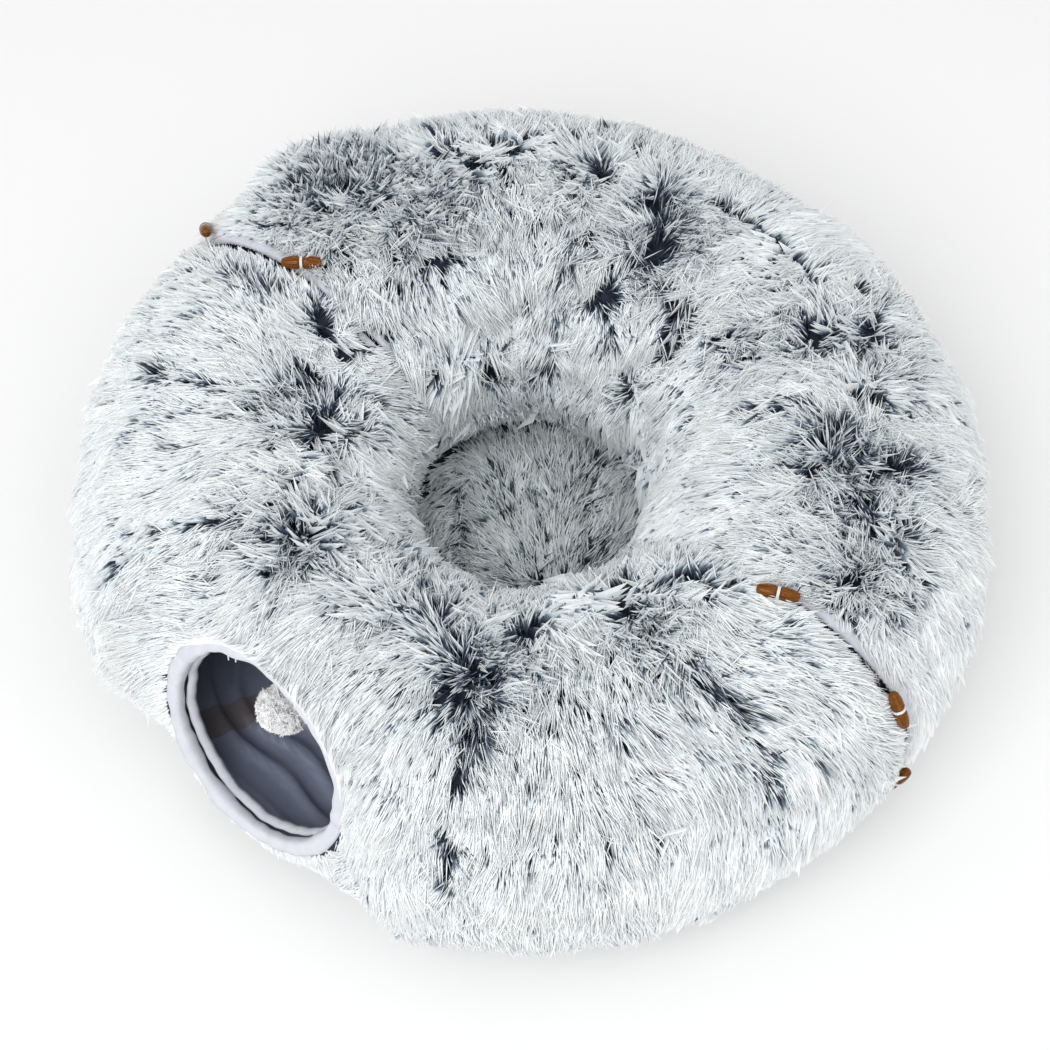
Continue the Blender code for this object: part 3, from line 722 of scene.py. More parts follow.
def seamOpening(half, azimuth, section, reach):
    # Where the photo shows the seams open, how near a clump is to one, and which way is away
    # from it
    fromStart, fromEnd = (np.radians(degrees) * reach for degrees in fromSeams(half, azimuth))
    away = np.where(fromStart < fromEnd, 1.0, -1.0)
    near = np.exp(-np.minimum(fromStart, fromEnd) / fur["seamReach"])
    atLeft = (fromStart < fromEnd) == (half == "front")
    openLeft = smoothStep(section, 28, 40) * (1 - smoothStep(section, 96, 106))
    openRight = 0.9 * smoothStep(section, 26, 40) * (1 - smoothStep(section, 84, 96))
    return np.where(atLeft, openLeft, openRight), near, away


def peepholeShares(half, root):
    # Shares for clumps at the peephole's rim, to its left, below it, beside it and close to it
    if half == "rear":
        return np.zeros((5, len(root)))
    distance, height = aroundPeephole(root)[:2]
    offset = (root - peepCentre) / np.maximum(distance, 1e-6)[:, None]
    atRim = (1 - smoothStep(distance, *rimFur["reach"])) * (np.abs(height) < rimFur["height"])
    leftward = smoothStep(-(root - peepCentre) @ peepSide, *rimFur["left"])
    leftward = leftward * (distance < rimFur["leftReach"])
    below = smoothStep(-offset @ peepUp, *rimFur["below"])
    below = below * (1 - smoothStep(distance, *rimFur["belowReach"]))
    beside = smoothStep(-offset @ peepSide, *rimFur["beside"])
    beside = beside * (1 - smoothStep(distance, *rimFur["besideReach"]))
    return atRim, leftward, below, beside, 1 - smoothStep(distance, *rimFur["paleReach"])


def combFur(half, root, normal):
    # The comb direction of each clump, and the shares that its lift, length and tone follow
    azimuth, section, reach, along, around = tubeCoordinates(root)
    across, down, tousle, stand, core, pressed = combWall(half, azimuth, section, reach, root)
    opened, near, away = seamOpening(half, azimuth, section, reach)
    atRim, leftward, below, beside, close = peepholeShares(half, root)
    if half == "front":
        across -= away * near * fur["seamLean"] * (1 + 0.5 * opened)
    else:
        across -= away * near * (fur["seamLean"] * (1 - opened) + fur["openLean"] * opened)
    angle = (fur["swirl"] * waveField(root, swirlWaves)
             + fur["smallSwirl"] * waveField(root, smallWaves))
    rough = np.maximum(tousle, 0.3 * stand) * (1 - 0.7 * core)
    spin = fur["clumpTurn"] + fur["tousleTurn"] * rough
    angle += spin * rng.normal(size=len(root))
    angle = np.radians(angle)
    size = np.maximum(np.hypot(across, down), 1e-6)
    level = np.cos(angle) * across - np.sin(angle) * down
    rise = np.sin(angle) * across + np.cos(angle) * down
    comb = (level / size)[:, None] * along + (rise / size)[:, None] * around
    # Round the peephole the fur leans off its binding
    comb = comb + (rimFur["lean"] * atRim)[:, None] * aroundPeephole(root)[2]
    comb = comb - rimFur["leftLean"] * leftward[:, None] * peepSide
    comb = unit(comb - dot(comb, normal) * normal)
    return comb, dict(
        azimuth=azimuth, section=section, tousle=tousle, stand=stand, core=core, pressed=pressed,
        opened=opened, atRim=atRim, below=below, beside=beside, close=close,
        standing=1 - np.clip(size, 0, 1), inHole=smoothStep(section, 105, 130),
        under=1 - smoothStep(np.sin(np.radians(section)), -0.95, -0.7),
        cut=fur["openShort"] * opened * near if half == "rear" else 0 * near,
        ruffled=tousle * rng.uniform(0.3, 1, len(root)))


def liftFur(root, clump):
    # How steeply each clump leaves its root and how steeply it goes on, in degrees
    core, tousle, beside = clump["core"], clump["tousle"], clump["beside"]
    lift = fur["partLift"] * clump["standing"] + fur["whorlLift"] * core
    rootLift = np.minimum(fur["rootLift"] + lift + 0.5 * fur["tousleLift"] * tousle, 84)
    tipLift = (fur["tipLift"] + 0.8 * lift + fur["whorlTip"] * core
               + fur["tousleLift"] * clump["ruffled"])
    tipLift = tipLift * (1 - fur["holeTip"] * clump["inHole"])
    nest = np.zeros(len(root))
    for centre in toggleCentres:
        nest = np.maximum(nest, np.exp(-((root - centre) ** 2).sum(1) / fur["nestReach"] ** 2))
    rootLift = rootLift + (fur["nestLift"] - rootLift) * np.minimum(1.4 * nest, 1)
    tipLift = tipLift + fur["nestTip"] * nest
    rootLift = rootLift * (1 - fur["notchFlat"] * clump["pressed"])
    rootLift = rootLift * (1 - rimFur["belowFlat"] * clump["below"])
    rootLift = rootLift + rimFur["stand"] * clump["atRim"] * (1 - beside)
    tipLift = tipLift + rimFur["besideTip"] * beside
    return rootLift * (1 - 0.5 * clump["under"]), tipLift


def trimFur(root, clump):
    # The length of each clump
    wave = waveField(root, lengthWaves)
    length = fur["length"] * (1 + (0.1 + 0.08 * clump["inHole"]) * wave)
    length = length * (1 - fur["notchShort"] * clump["pressed"])
    length = length * (1 - (1 - fur["undersideLength"]) * clump["under"])
    length = length * (1 - rimFur["short"] * clump["atRim"])
    length = length * (1 - rimFur["belowShort"] * clump["below"])
    length = length * (1 + rimFur["besideLong"] * clump["beside"])
    return length * (1 - clump["cut"])


def toneFur(root, clump):
    # The tone of each clump and how far its strands differ
    section, core, stand, ruffled = (
        clump[name] for name in ("section", "core", "stand", "ruffled"))
    # Thin dark streaks run down the combed fur, fewer of them low on its outside
    phase = clump["azimuth"][:, None] * streakTurns[0] + section[:, None] * streakTurns[1]
    streak = (np.sin(np.radians(phase) + streakPhases).sum(-1)
              / math.sqrt(len(streakPhases) / 2))
    streak = smoothStep(streak, 1.2, 2.2) * (0.25 + 0.75 * smoothStep(section, 15, 55))
    calm = 1 - smoothStep(section, 15, 75)
    tone = furTone["mean"] + furTone["wave"] * waveField(root, toneWaves)
    tone += furTone["spread"] * rng.normal(size=len(root))
    # Painted shade: the tone is lowered in tousled areas here, and below in creases and pressed
    # notches; at whorls it is part painted shade, part the dark roots that show
    tone += furTone["calm"] * calm - furTone["tousle"] * ruffled - furTone["streak"] * streak
    tone -= (np.maximum(furTone["whorlRootsAndShade"] * core, furTone["crease"] * stand)
             + furTone["notchShade"] * clump["pressed"])
    # Round the peephole it is paler
    tone += (furTone["rim"] * clump["atRim"]
             + furTone["belowRim"] * clump["below"] * clump["close"])
    toneSpread = furTone["strand"] * (1 - furTone["strandCalm"] * calm
                                      + furTone["strandStreak"] * streak
                                      + furTone["strandTousle"] * ruffled)
    return tone, toneSpread


def growFur(half):
    points, triangles, outer = coverOutside(half)

    def density(places):
        # Thicker by the seams and round the peephole, and thin on the underside
        azimuth, section = tubeCoordinates(places)[:2]
        inside = np.minimum(*fromSeams(half, azimuth))
        under = 1 - smoothStep(np.sin(np.radians(section)), -0.95, -0.7)
        thick = 1 + 0.8 * (inside < 7)
        if half == "front":
            thick = thick * (1 + 1.5 * (aroundPeephole(places)[0] < 0.112))
        thick = thick * (inside > fur["seamClear"] - 0.6)
        return thick * (1 - (1 - fur["undersideShare"]) * under)

    root, normal = scatterRoots(points, triangles[outer], density, fur["clumps"])
    inside = np.minimum(*fromSeams(half, tubeCoordinates(root)[0])) > fur["seamClear"]
    root, normal = root[inside], normal[inside]
    comb, clump = combFur(half, root, normal)
    rootLift, tipLift = liftFur(root, clump)
    length, tone = trimFur(root, clump), toneFur(root, clump)
    rough = np.maximum(clump["tousle"], np.maximum(clump["core"], clump["stand"]))
    strays = fur["strays"] + fur["roughStrays"] * rough
    # A clump that is rooted less deep starts flatter, so that its fur ends at the same height
    depth = rootDepth(half, root)
    lost = (fur["pileDepth"] - depth) / (fur["midShare"] * length)
    rise = np.clip(np.sin(np.radians(rootLift)) - lost, 0.05, 1)
    rootLift = np.degrees(np.arcsin(rise))
    root = root - depth[:, None] * normal
    start, middle, tip, strandTone = growStrands(
        root, normal, comb, rootLift, tipLift, length, fur, tone, strays, 1 / fur["droopRadius"])
    # Each half's fur may lie over the gap of the seam, or ends on its own binding
    each, opened = fur["strandsPerClump"], clump["opened"]
    bareTape = fur["bareTape"][half] * np.where(root[:, 0] < 0, 1, fur["bareRight"])
    lap = np.repeat(fur["lap"] * (1 - opened) - bareTape * opened, each)
    lap += rng.normal(size=len(lap)) * fur["lapSpread"]
    sense = 1 if half == "front" else -1
    for places in (start, middle, tip):
        over = np.maximum(sense * places[:, 1] - lap, 0)
        places[:, 1] -= fur["seamPull"] * sense * over
        places[:, 2] = np.maximum(places[:, 2], fur["floorGap"])
        places[:, 2] -= 0.8 * np.maximum(places[:, 2] - fur["crest"], 0)
        if half == "front":
            distance, height, outward = aroundPeephole(places)
            clear = peep["clear"] + 0.9 * np.maximum(height - 0.002, 0)
            close = (distance < clear) & (np.abs(height) < 0.06)
            places[close] += ((clear - distance)[:, None] * outward)[close]
    # A strand with its root or tip off the floor has its middle off it too
    highest = np.maximum(start[:, 2], tip[:, 2]).clip(max=0.004)
    middle[:, 2] = np.maximum(middle[:, 2], highest * 0.9)
    azimuth = np.repeat(clump["azimuth"], each)
    sector = ((azimuth % 180) / 180 * fur["sectors"]).astype(int)
    spread = fur["widthSpread"]
    width = fur["width"] * rng.uniform(1 - spread, 1 + spread, len(start))
    for number in range(fur["sectors"]):
        mine = sector == number
        points, faces, uv = strandMesh(start[mine], middle[mine], tip[mine], width[mine],
                                       strandTone[mine], fur["midShare"])
        makePiece(f"{half}_fur_{number + 1}", points, faces, furMaterial, half + "_half",
                  smooth=False, uv=uv, slot="plush")
    print(half, "fur grown:", len(start), "strands")


toggleCentres = [weldedNode(f"toggle_{number}")[0].mean(0) for number in range(1, 7)]
growFur("front")
growFur("rear")


# The fur's backing: the plush cover with its outside drawn in to where the strands are rooted.
# Its flat width is the tube's girth, and its length half of the ring's centre line.
backing = dict(girth=0.86, edgeDepth=0.002, edgeAngle=3.2, rim=(0.099, 0.106))


def makeBacking(half):
    points, triangles, outer = coverOutside(half)
    normals = vertexNormals(points, triangles[outer])
    touched = np.zeros(len(points), bool)
    touched[triangles[outer].ravel()] = True
    inside = np.minimum(*fromSeams(half, tubeCoordinates(points)[0]))
    depth = np.where(inside > backing["edgeAngle"], rootDepth(half, points), backing["edgeDepth"])
    if half == "front":
        depth = depth * smoothStep(aroundPeephole(points)[0], *backing["rim"])
    points[touched] -= (depth[:, None] * normals)[touched]
    piece = makePiece(half + "_fur_backing", points, triangles, skinMaterial, half + "_half",
                      slot="plush")
    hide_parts(half + "_plush_cover")


makeBacking("front")
makeBacking("rear")
print("backings made")


# Linings: the CAD lining made finer and hung in folds that run along the tunnel's floor, pleats
# round its walls and a slight sag between the hoops. Its flat width is its own girth.
lining = dict(girth=0.76, splits=3, fold=0.0060, foldTurns=24, pleat=0.0035, pleatLength=0.036,
              endClear=0.016, endFade=0.02, rim=(0.090, 0.104))
foldWaves = makeWaves(0.12)
pleatWaves = makeWaves(0.15)


def splitTriangles(points, triangles):
    # Each triangle becomes four, with shared middle points
    ends = np.sort(np.concatenate([triangles[:, [0, 1]], triangles[:, [1, 2]],
                                   triangles[:, [2, 0]]]), 1)
    edges, number = np.unique(ends, axis=0, return_inverse=True)
    number = number.ravel().reshape(3, -1) + len(points)
    points = np.concatenate([points, points[edges].mean(1)])
    first, second, third = triangles.T
    a, b, c = number
    corners = [(first, a, c), (second, b, a), (third, c, b), (a, b, c)]
    return points, np.concatenate([np.stack(corner, 1) for corner in corners])


def makeLining(half):
    points, triangles = weldedNode(half + "_lining")
    for _ in range(lining["splits"]):
        points, triangles = splitTriangles(points, triangles)
    azimuth, section, reach = tubeCoordinates(points)[:3]
    inside = np.radians(np.minimum(*fromSeams(half, azimuth))) * reach
    fade = smoothStep(inside, lining["endClear"], lining["endClear"] + lining["endFade"])
    if half == "front":
        fade = fade * smoothStep(aroundPeephole(points)[0], *lining["rim"])
    level = np.radians(section)
    floor = smoothStep(-np.sin(level), 0.25, 0.75)
    phase = lining["foldTurns"] * level + 1.1 * waveField(points * [1, 1, 0], foldWaves)
    folds = lining["fold"] * floor * (0.5 + 0.5 * np.sin(phase)) ** 2.4
    length = np.radians(azimuth) * reach / lining["pleatLength"] * 2 * math.pi
    pleats = (0.5 + 0.5 * np.sin(length + 1.2 * waveField(points, pleatWaves))) ** 1.5
    pleats = lining["pleat"] * (1 - floor) * pleats
    bay = lining["pleat"] * np.sin(np.radians(azimuth * 6)) ** 2 * (1 - 0.5 * floor)
    drawn = (folds + pleats + bay) * fade
    points = points + drawn[:, None] * towardsCentreLine(points)
    piece = makePiece(half + "_satin_lining", points, triangles, satinCloth, half + "_half",
                      slot="lining")
    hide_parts(half + "_lining")


makeLining("front")
makeLining("rear")
print("linings made")


# Bindings round the tube's ends: a folded cloth tape with fine puckers
endTape = dict(inset=0.0045, thickness=0.0013, width=0.0095, foot=0.0202, pucker=0.0004,
               puckers=150, flatten=0.9877, seamGap=0.003, steps=600, turnIn=0.0022,
               topLimit=0.007, floorGap=0.0008)


def makeEndTape(node, azimuth, sense, body):
    # The profile lies over the cover's end, turns down its face and is shut behind it. Its
    # points are (along the ring, depth below the tube's outside).
    angle = circle(endTape["steps"])
    ripple = endTape["pucker"] * np.sin(endTape["puckers"] * angle + np.sin(7 * angle))
    web, wide = endTape["thickness"], endTape["width"]
    top, foot = endTape["inset"], endTape["foot"]
    profile = [(0.0004, top + 0.0002), (0.003, top - 0.0003), (0.006, top - 0.0003),
               (wide - 0.0004, top), (wide, top + 0.0006), (wide - 0.0004, top + web),
               (0.004, top + web), (web, top + web + 0.0006), (web, 0.012), (web, foot - 0.0005),
               (web / 2, foot), (0, foot - 0.0005), (-0.0003, 0.012), (-0.0002, top + 0.002)]
    profile = np.array(profile)
    onTop = profile[:, 1] < endTape["topLimit"]
    turned = (endTape["seamGap"] + profile[None, :, 0] + 0.6 * ripple[:, None]) / tube["ringRadius"]
    inset = profile[None, :, 1] - ripple[:, None] * onTop
    section = np.broadcast_to(angle[:, None], turned.shape)
    place = azimuth + sense * turned
    reach = tube["ringRadius"] + (tube["halfWidth"] - inset) * np.cos(section) * endTape["flatten"]
    height = (tube["centreHeight"]
              + (tube["halfHeight"] - inset) * np.sin(section) * endTape["flatten"])
    points = np.stack([reach * np.cos(place), reach * np.sin(place), height], -1).reshape(-1, 3)
    points[:, 2] = np.maximum(points[:, 2], endTape["floorGap"])
    # Below the turned edge the map's width is under 0, so the tape's web there is painted near black,
    # partly as the dark lining, partly as painted shade in the seam's gap
    across = np.where(profile[:, 1] < top + endTape["turnIn"], profile[:, 0] + 0.001, -0.002)
    faces = outwardFaces(points, gridFaces(endTape["steps"], len(profile), closeRows=True))
    piece = makePiece(node.replace("end_tape", "end_binding"), points, faces, bindingCloth, body,
                      uv=stripMap(across, angle * tube["meanRadius"]), slot="binding_tape")
    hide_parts(node)


for half, start in (("front", math.pi), ("rear", 0.0)):
    makeEndTape(half + "_end_tape_1", start, 1, half + "_half")
    makeEndTape(half + "_end_tape_2", start + math.pi, -1, half + "_half")


# The peephole's binding: a folded tape round the rim, a little puckered
peepTape = dict(steps=540, half=0.0007, pucker=0.00045, puckers=23, wave=0.0009, waves=7,
                top=0.0022, bottom=-0.0082, joinTurn=62, joinWidth=0.05, joinHeight=0.0011)


def carryRoundPeephole(name, turn, profile, mapWidth):
    # A profile of (distance from the axis, height over the plane) carried round the peephole
    spoke = np.cos(turn)[:, None] * peepSide + np.sin(turn)[:, None] * peepUp
    centres = np.broadcast_to(peepCentre, spoke.shape)
    normals = np.broadcast_to(peepNormal, spoke.shape)
    points = carriedProfile(centres, spoke, normals, profile).reshape(-1, 3)
    faces = outwardFaces(points, gridFaces(len(turn), profile.shape[1], closeRows=True))
    across = np.linspace(0.001, mapWidth, profile.shape[1])
    return makePiece(name, points, faces, bindingCloth, "front_half",
                     uv=stripMap(across, turn * peep["outer"]), slot="binding_tape")


def makePeepholeTape():
    # Puckers, slow waves and the step where the tape's end laps over its start
    turn = circle(peepTape["steps"])
    pucker = peepTape["pucker"] * np.sin(peepTape["puckers"] * turn + 2 * np.sin(5 * turn))
    pucker += peepTape["wave"] * np.sin(peepTape["waves"] * turn + 1.6 * np.sin(3 * turn))
    join = (turn - math.radians(peepTape["joinTurn"])) / peepTape["joinWidth"]
    pucker += peepTape["joinHeight"] * np.where(join > 0, np.exp(-join * 1.2), np.exp(join * 6))
    top, bottom = peepTape["top"], peepTape["bottom"]
    middle = (top + bottom) / 2
    centreLine = [(peep["outer"] + 0.001, top - 0.0012), (0.0975, top - 0.0004),
                  (0.0950, top - 0.0001), (0.0920, top), (0.0893, top - 0.0004),
                  (0.0877, top - 0.0018), (0.0872, top - 0.0038), (0.0870, middle),
                  (0.0873, bottom + 0.0024), (0.0887, bottom + 0.0004),
                  (0.0925, bottom - 0.0003), (0.0985, bottom + 0.0002)]
    centreLine = np.array(centreLine)
    tangent = unit(np.gradient(centreLine, axis=0))
    normal = np.stack([tangent[:, 1], -tangent[:, 0]], -1)
    outside = centreLine + peepTape["half"] * normal
    inside = centreLine - peepTape["half"] * normal
    profile = np.concatenate([outside, inside[::-1]])
    away = np.concatenate([normal, normal[::-1]])
    profile = profile[None] + pucker[:, None, None] * away[None]
    piece = carryRoundPeephole("peephole_binding", turn, profile, 0.05)
    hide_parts("peephole_tape")


# A pale strip below the binding, its edge turned into the tunnel, with two cut thread ends
facing = dict(profile=((0.0880, -0.0098), (0.0862, -0.0112), (0.0850, -0.0150), (0.0852, -0.0185),
                       (0.0860, -0.0185), (0.0858, -0.0150), (0.0870, -0.0118), (0.0884, -0.0106)),
              threadTurns=(117, 123), threadLength=0.007, threadRadius=0.0006, threadReach=0.0878)


def makePeepholeFacing():
    turn = circle(peepTape["steps"])
    ripple = 0.0007 * np.sin(9 * turn + 1.5 * np.sin(4 * turn)) + 0.0003 * np.sin(31 * turn)
    profile = np.array(facing["profile"])[None] + ripple[:, None, None] * [1.0, 0.4]
    carryRoundPeephole("peephole_facing", turn, profile, 0.02)
    sides = circle(8)
    distance = np.linspace(0, facing["threadLength"], 6)
    parts = []
    for place in facing["threadTurns"]:
        angle = math.radians(place)
        outward = math.cos(angle) * peepSide + math.sin(angle) * peepUp
        start = peepCentre + facing["threadReach"] * outward - 0.001 * peepNormal
        lean = unit(-outward - 0.25 * peepSide)
        beside = np.cross(lean, peepNormal)
        ring = facing["threadRadius"] * (np.cos(sides)[:, None] * peepNormal
                                         + np.sin(sides)[:, None] * beside)
        rings = start + distance[:, None, None] * lean + ring[None]
        parts.append(closedEnds(rings.reshape(-1, 3), gridFaces(len(rings), 8), len(rings), 8))
    makePiece("peephole_threads", *joinParts(parts), cordCotton, "front_half", slot="white_cord")


makePeepholeTape()
makePeepholeFacing()
print("bindings made")


# Toggles: turned wood on a waist cord, each with its stalk and the other half's loop
toggle = dict(length=0.035, radius=0.00575, endRadius=0.0028, waist=0.0041, sides=40,
              grooveWidth=0.0022, noseShare=0.07)
cord = dict(radius=0.0006, ringRadius=0.0049, stemRadius=0.0010, stemTop=0.0048, loopRadius=0.0009)


def nodeAxes(node):
    # The middle of a node and its directions, longest first, from the spread of its points
    points = weldedNode(node)[0]
    centre = points.mean(0)
    vectors = np.linalg.eigh(np.cov((points - centre).T))[1]
    return centre, vectors[:, 2], vectors[:, 1], vectors[:, 0]


def makeToggle(number, body):
    # A turned barrel, narrower to its round ends, with a groove for the cord round its middle
    centre, axis, beside, outward = nodeAxes(f"toggle_{number}")
    half = toggle["length"] / 2
    share = np.linspace(-1, 1, 61)
    swell = (1 - np.abs(share) ** 3.2) ** 0.9
    barrel = toggle["endRadius"] + (toggle["radius"] - toggle["endRadius"]) * swell
    depth = toggle["radius"] - toggle["waist"]
    radius = barrel - depth * np.exp(-(share * half / toggle["grooveWidth"]) ** 4)
    beyond = (np.abs(share) - (1 - toggle["noseShare"])) / toggle["noseShare"]
    nose = np.sqrt(np.clip(1 - beyond.clip(0) ** 2, 0, 1))
    radius = radius * np.maximum(nose, 0.02)
    turn = circle(toggle["sides"])
    spoke = np.cos(turn)[:, None] * beside + np.sin(turn)[:, None] * outward
    rings = centre + (share * half)[:, None, None] * axis + radius[:, None, None] * spoke[None]
    height, width = np.meshgrid(share * 0.5 + 0.5 + number, np.abs(turn / math.pi - 1),
                                indexing="ij")
    uv = np.stack([width.ravel(), height.ravel()], -1)
    uv = np.concatenate([uv, [(0.5, number), (0.5, number + 1)]])
    piece = makeTurned(f"wood_toggle_{number}", rings, toggleWood, body, "toggle_wood", uv=uv)
    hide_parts(f"toggle_{number}")
    return centre, axis, beside, outward


def makeToggleCord(number, body, frameAxes):
    # Two turns of cord in the groove and the stalk that holds them to the cover
    centre, axis, beside, outward = frameAxes
    node = f"toggle_cord_{number}"
    low = (weldedNode(node)[0] - centre) @ outward
    if abs(low.min()) < abs(low.max()):
        outward = -outward
        low = -low
    stalk = centre + low.min() * outward
    turn = np.linspace(0, 2 * math.pi, 48, endpoint=False)
    spoke = np.cos(turn)[:, None] * beside + np.sin(turn)[:, None] * outward
    parts = []
    for offset in (-cord["radius"], cord["radius"]):
        path = centre + offset * axis + cord["ringRadius"] * spoke
        wound = closedTube(path, cord["radius"], 12, axis).reshape(-1, 3)
        parts.append((wound, gridFaces(48, 12, closeRows=True)))
    height = np.linalg.norm(centre - stalk) - cord["stemTop"]
    distance = np.linspace(0, height, 12)
    sides = np.linspace(0, 2 * math.pi, 12, endpoint=False)
    ring = np.cos(sides)[:, None] * axis + np.sin(sides)[:, None] * beside
    stem = stalk + distance[:, None, None] * outward + cord["stemRadius"] * ring[None]
    parts.append(closedEnds(stem.reshape(-1, 3), gridFaces(12, 12), 12, 12))
    piece = makePiece(f"toggle_waist_cord_{number}", *joinParts(parts), cordCotton, body,
                      slot="white_cord")
    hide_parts(node)
    return outward


def makeLoop(number, body, outward):
    # Two half circles and two straight runs round the stalk, as long and wide as the CAD loop
    node = f"toggle_loop_{number}"
    points = weldedNode(node)[0]
    centre = points.mean(0)
    flat = points - centre
    flat = flat - (flat @ outward)[:, None] * outward
    vectors = np.linalg.eigh(np.cov(flat.T))[1]
    longways, sideways = vectors[:, 2], vectors[:, 1]
    halfLength = np.abs(flat @ longways).max() - cord["loopRadius"]
    halfWidth = np.abs(flat @ sideways).max() - cord["loopRadius"]
    turn = np.linspace(0, 2 * math.pi, 64, endpoint=False)
    cosine, sine = np.cos(turn), np.sin(turn)
    straight = halfLength - halfWidth
    path = (centre + (halfWidth * cosine + straight * np.sign(cosine))[:, None] * longways
            + (halfWidth * sine)[:, None] * sideways)
    tubePoints = closedTube(path, cord["loopRadius"], 12, outward).reshape(-1, 3)
    faces = outwardFaces(tubePoints, gridFaces(64, 12, closeRows=True))
    piece = makePiece(f"loop_cord_{number}", tubePoints, faces, cordCotton, body,
                      slot="white_cord")
    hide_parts(node)


for number in range(1, 7):
    holder = f"toggle_button_{number}"
    axes = makeToggle(number, holder)
    outward = makeToggleCord(number, holder, axes)
    makeLoop(number, "front_half" if number <= 3 else "rear_half", outward)
print("toggles made")


# Pompom: wool strands all round a core, on a string from a knot under the peephole's top
pompom = dict(drop=0.057, core=0.0165, radius=0.0225, strands=6000, width=0.0010, tufts=210,
              tuftPull=0.45, stringRadius=0.0008, stringTop=0.0023, stringLap=0.0037,
              knotRadius=0.0022)
knotPlace = peepCentre + (peep["inner"] - 0.0023) * peepUp - 0.003 * peepNormal
pompomCentre = knotPlace - pompom["drop"] * up


def makeWool():
    # The wool gathers in tufts of their own length and slant
    tuft = unit(rng.normal(size=(pompom["tufts"], 3)))
    direction = unit(rng.normal(size=(pompom["strands"], 3)))
    nearest = (direction @ tuft.T).argmax(1)
    direction = unit(direction + pompom["tuftPull"] * (tuft[nearest] - direction))
    slant = np.cross(tuft, rng.normal(size=tuft.shape))[nearest]
    tangent = unit(slant + 0.5 * rng.normal(size=direction.shape))
    reach = rng.normal(size=(pompom["tufts"], 1))[nearest]
    reach = reach + 0.5 * rng.normal(size=(len(direction), 1))
    reach = np.minimum(pompom["radius"] * (0.97 + 0.05 * reach), pompom["radius"] * 1.08)
    start = pompomCentre + (pompom["core"] - 0.003) * direction
    middle = pompomCentre + (pompom["core"] + reach) / 2 * direction + 0.0016 * tangent
    tip = pompomCentre + reach * unit(direction + 0.3 * tangent)
    width = np.full(len(start), pompom["width"])
    points, faces, uv = strandMesh(start, middle, tip, width, rng.random(len(start)), 0.5)
    wool = makePiece("pompom_wool", points, faces, pompomMaterial, "pompom_hang", smooth=False,
                     uv=uv, slot="pompom_wool")
    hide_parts("pompom")
    return wool


def makePompom():
    wool = makeWool()
    core = makeTurned("pompom_core", ballRings(pompomCentre, pompom["core"], 17, 32, 0.04),
                      pompomCoreMaterial, "pompom_hang", "pompom_wool")
    curve = bpy.data.curves.new("pompom_cord", "CURVE")
    curve.dimensions = "3D"
    curve.bevel_depth = pompom["stringRadius"]
    curve.bevel_resolution = 3
    curve.use_fill_caps = True
    line = curve.splines.new("POLY")
    lowest = pompom["drop"] - pompom["radius"] + pompom["stringLap"]
    heights = np.linspace(pompom["stringTop"], lowest, 16)
    line.points.add(len(heights) - 1)
    for point, height in zip(line.points, heights):
        point.co = (*(knotPlace - height * up), 1)
    curve.materials.append(cordCotton)
    string = bpy.data.objects.new("pompom_cord", curve)
    bpy.context.scene.collection.objects.link(string)
    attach(string, "pompom_hang")
    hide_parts("pompom_string")
    knot = makeTurned("string_knot", ballRings(knotPlace, pompom["knotRadius"], 9, 32, 0.05),
                      cordCotton, "pompom_link", "white_cord")
    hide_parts("pompom_knot")


makePompom()
print("pompom made")


# Centre mat: a round stuffed pad with two sewn channels under its own fur
mat = dict(radius=0.136, edge=0.026, crown=0.011, inset=0.006, bevel=0.006, underside=0.0022,
           channelOffset=0.048, channelWidth=0.009, channelDepth=0.0045, channelTurn=37.5,
           baseRadius=0.088, baseThickness=0.0014, baseFlat=0.178, sides=96)
matFur = dict(clumps=3300, strandsPerClump=9, length=0.027, lengthSpread=0.18, width=0.00115,
              widthSpread=0.25, midShare=0.42, rootLift=50, tipLift=16, liftSpread=10,
              clumpSpread=0.0024, gather=0.72, looseLift=60, strandTurn=7, clumpTurn=16, swirl=12,
              bendSpread=0.0008, strays=0.04, strayTurn=30, strayTone=0.25, droopRadius=0.3,
              # where its fur fans out from, and how it lies on the two outer panels
              fan=(0.021, -0.047), fanReach=0.015, fanTurn=60, leftPanel=(-0.55, -0.8),
              rightPanel=(0.6, 0.75),
              # the tones, where the edge's darkening, most at the back, is painted shade
              tone=0.55, toneWave=0.06, toneSpread=0.17, strandTone=0.80, edgeShadeTone=0.35,
              backShadeTone=0.5, shadeTurn=145, shadeHalf=45)


def matSurface(radius, turn, inset):
    # A dome that rounds over to its side, pressed down along the two channels
    across = radius * np.cos(turn - math.radians(mat["channelTurn"]))
    fromChannel = (np.abs(across) - mat["channelOffset"]) / mat["channelWidth"]
    channel = mat["channelDepth"] * np.exp(-fromChannel ** 2)
    dome = mat["crown"] * np.cos(math.pi / 2 * (radius / mat["radius"]) ** 1.3)
    return mat["edge"] + dome - channel - inset


def makeMatPad():
    # Rings from the middle out over the dome, round its shoulder, down and back under it
    turn, bevel = circle(mat["sides"]), mat["bevel"]
    radii = np.linspace(0.0005, mat["radius"] - mat["inset"] - bevel, 26)[:, None]
    dome = levelRing(radii, turn, matSurface(radii, turn, mat["inset"]))
    bend = np.linspace(0, math.pi / 2, 9)[1:, None]
    reach = radii[-1, 0] + bevel * np.sin(bend)
    edgeHeight = matSurface(radii[-1:], turn, mat["inset"])
    shoulder = levelRing(reach, turn, edgeHeight - bevel * (1 - np.cos(bend)))
    widest = reach[-1, 0]
    foot = [levelRing(widest, turn, bevel), levelRing(widest - 0.003, turn, mat["underside"]),
            levelRing(0.0005, turn, mat["underside"])]
    rings = np.concatenate([dome, shoulder, np.stack(foot)])
    pad = makeTurned("mat_pad", rings, skinMaterial, "mat", "mat_plush")
    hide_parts("mat_plush_cover", "mat_filling")


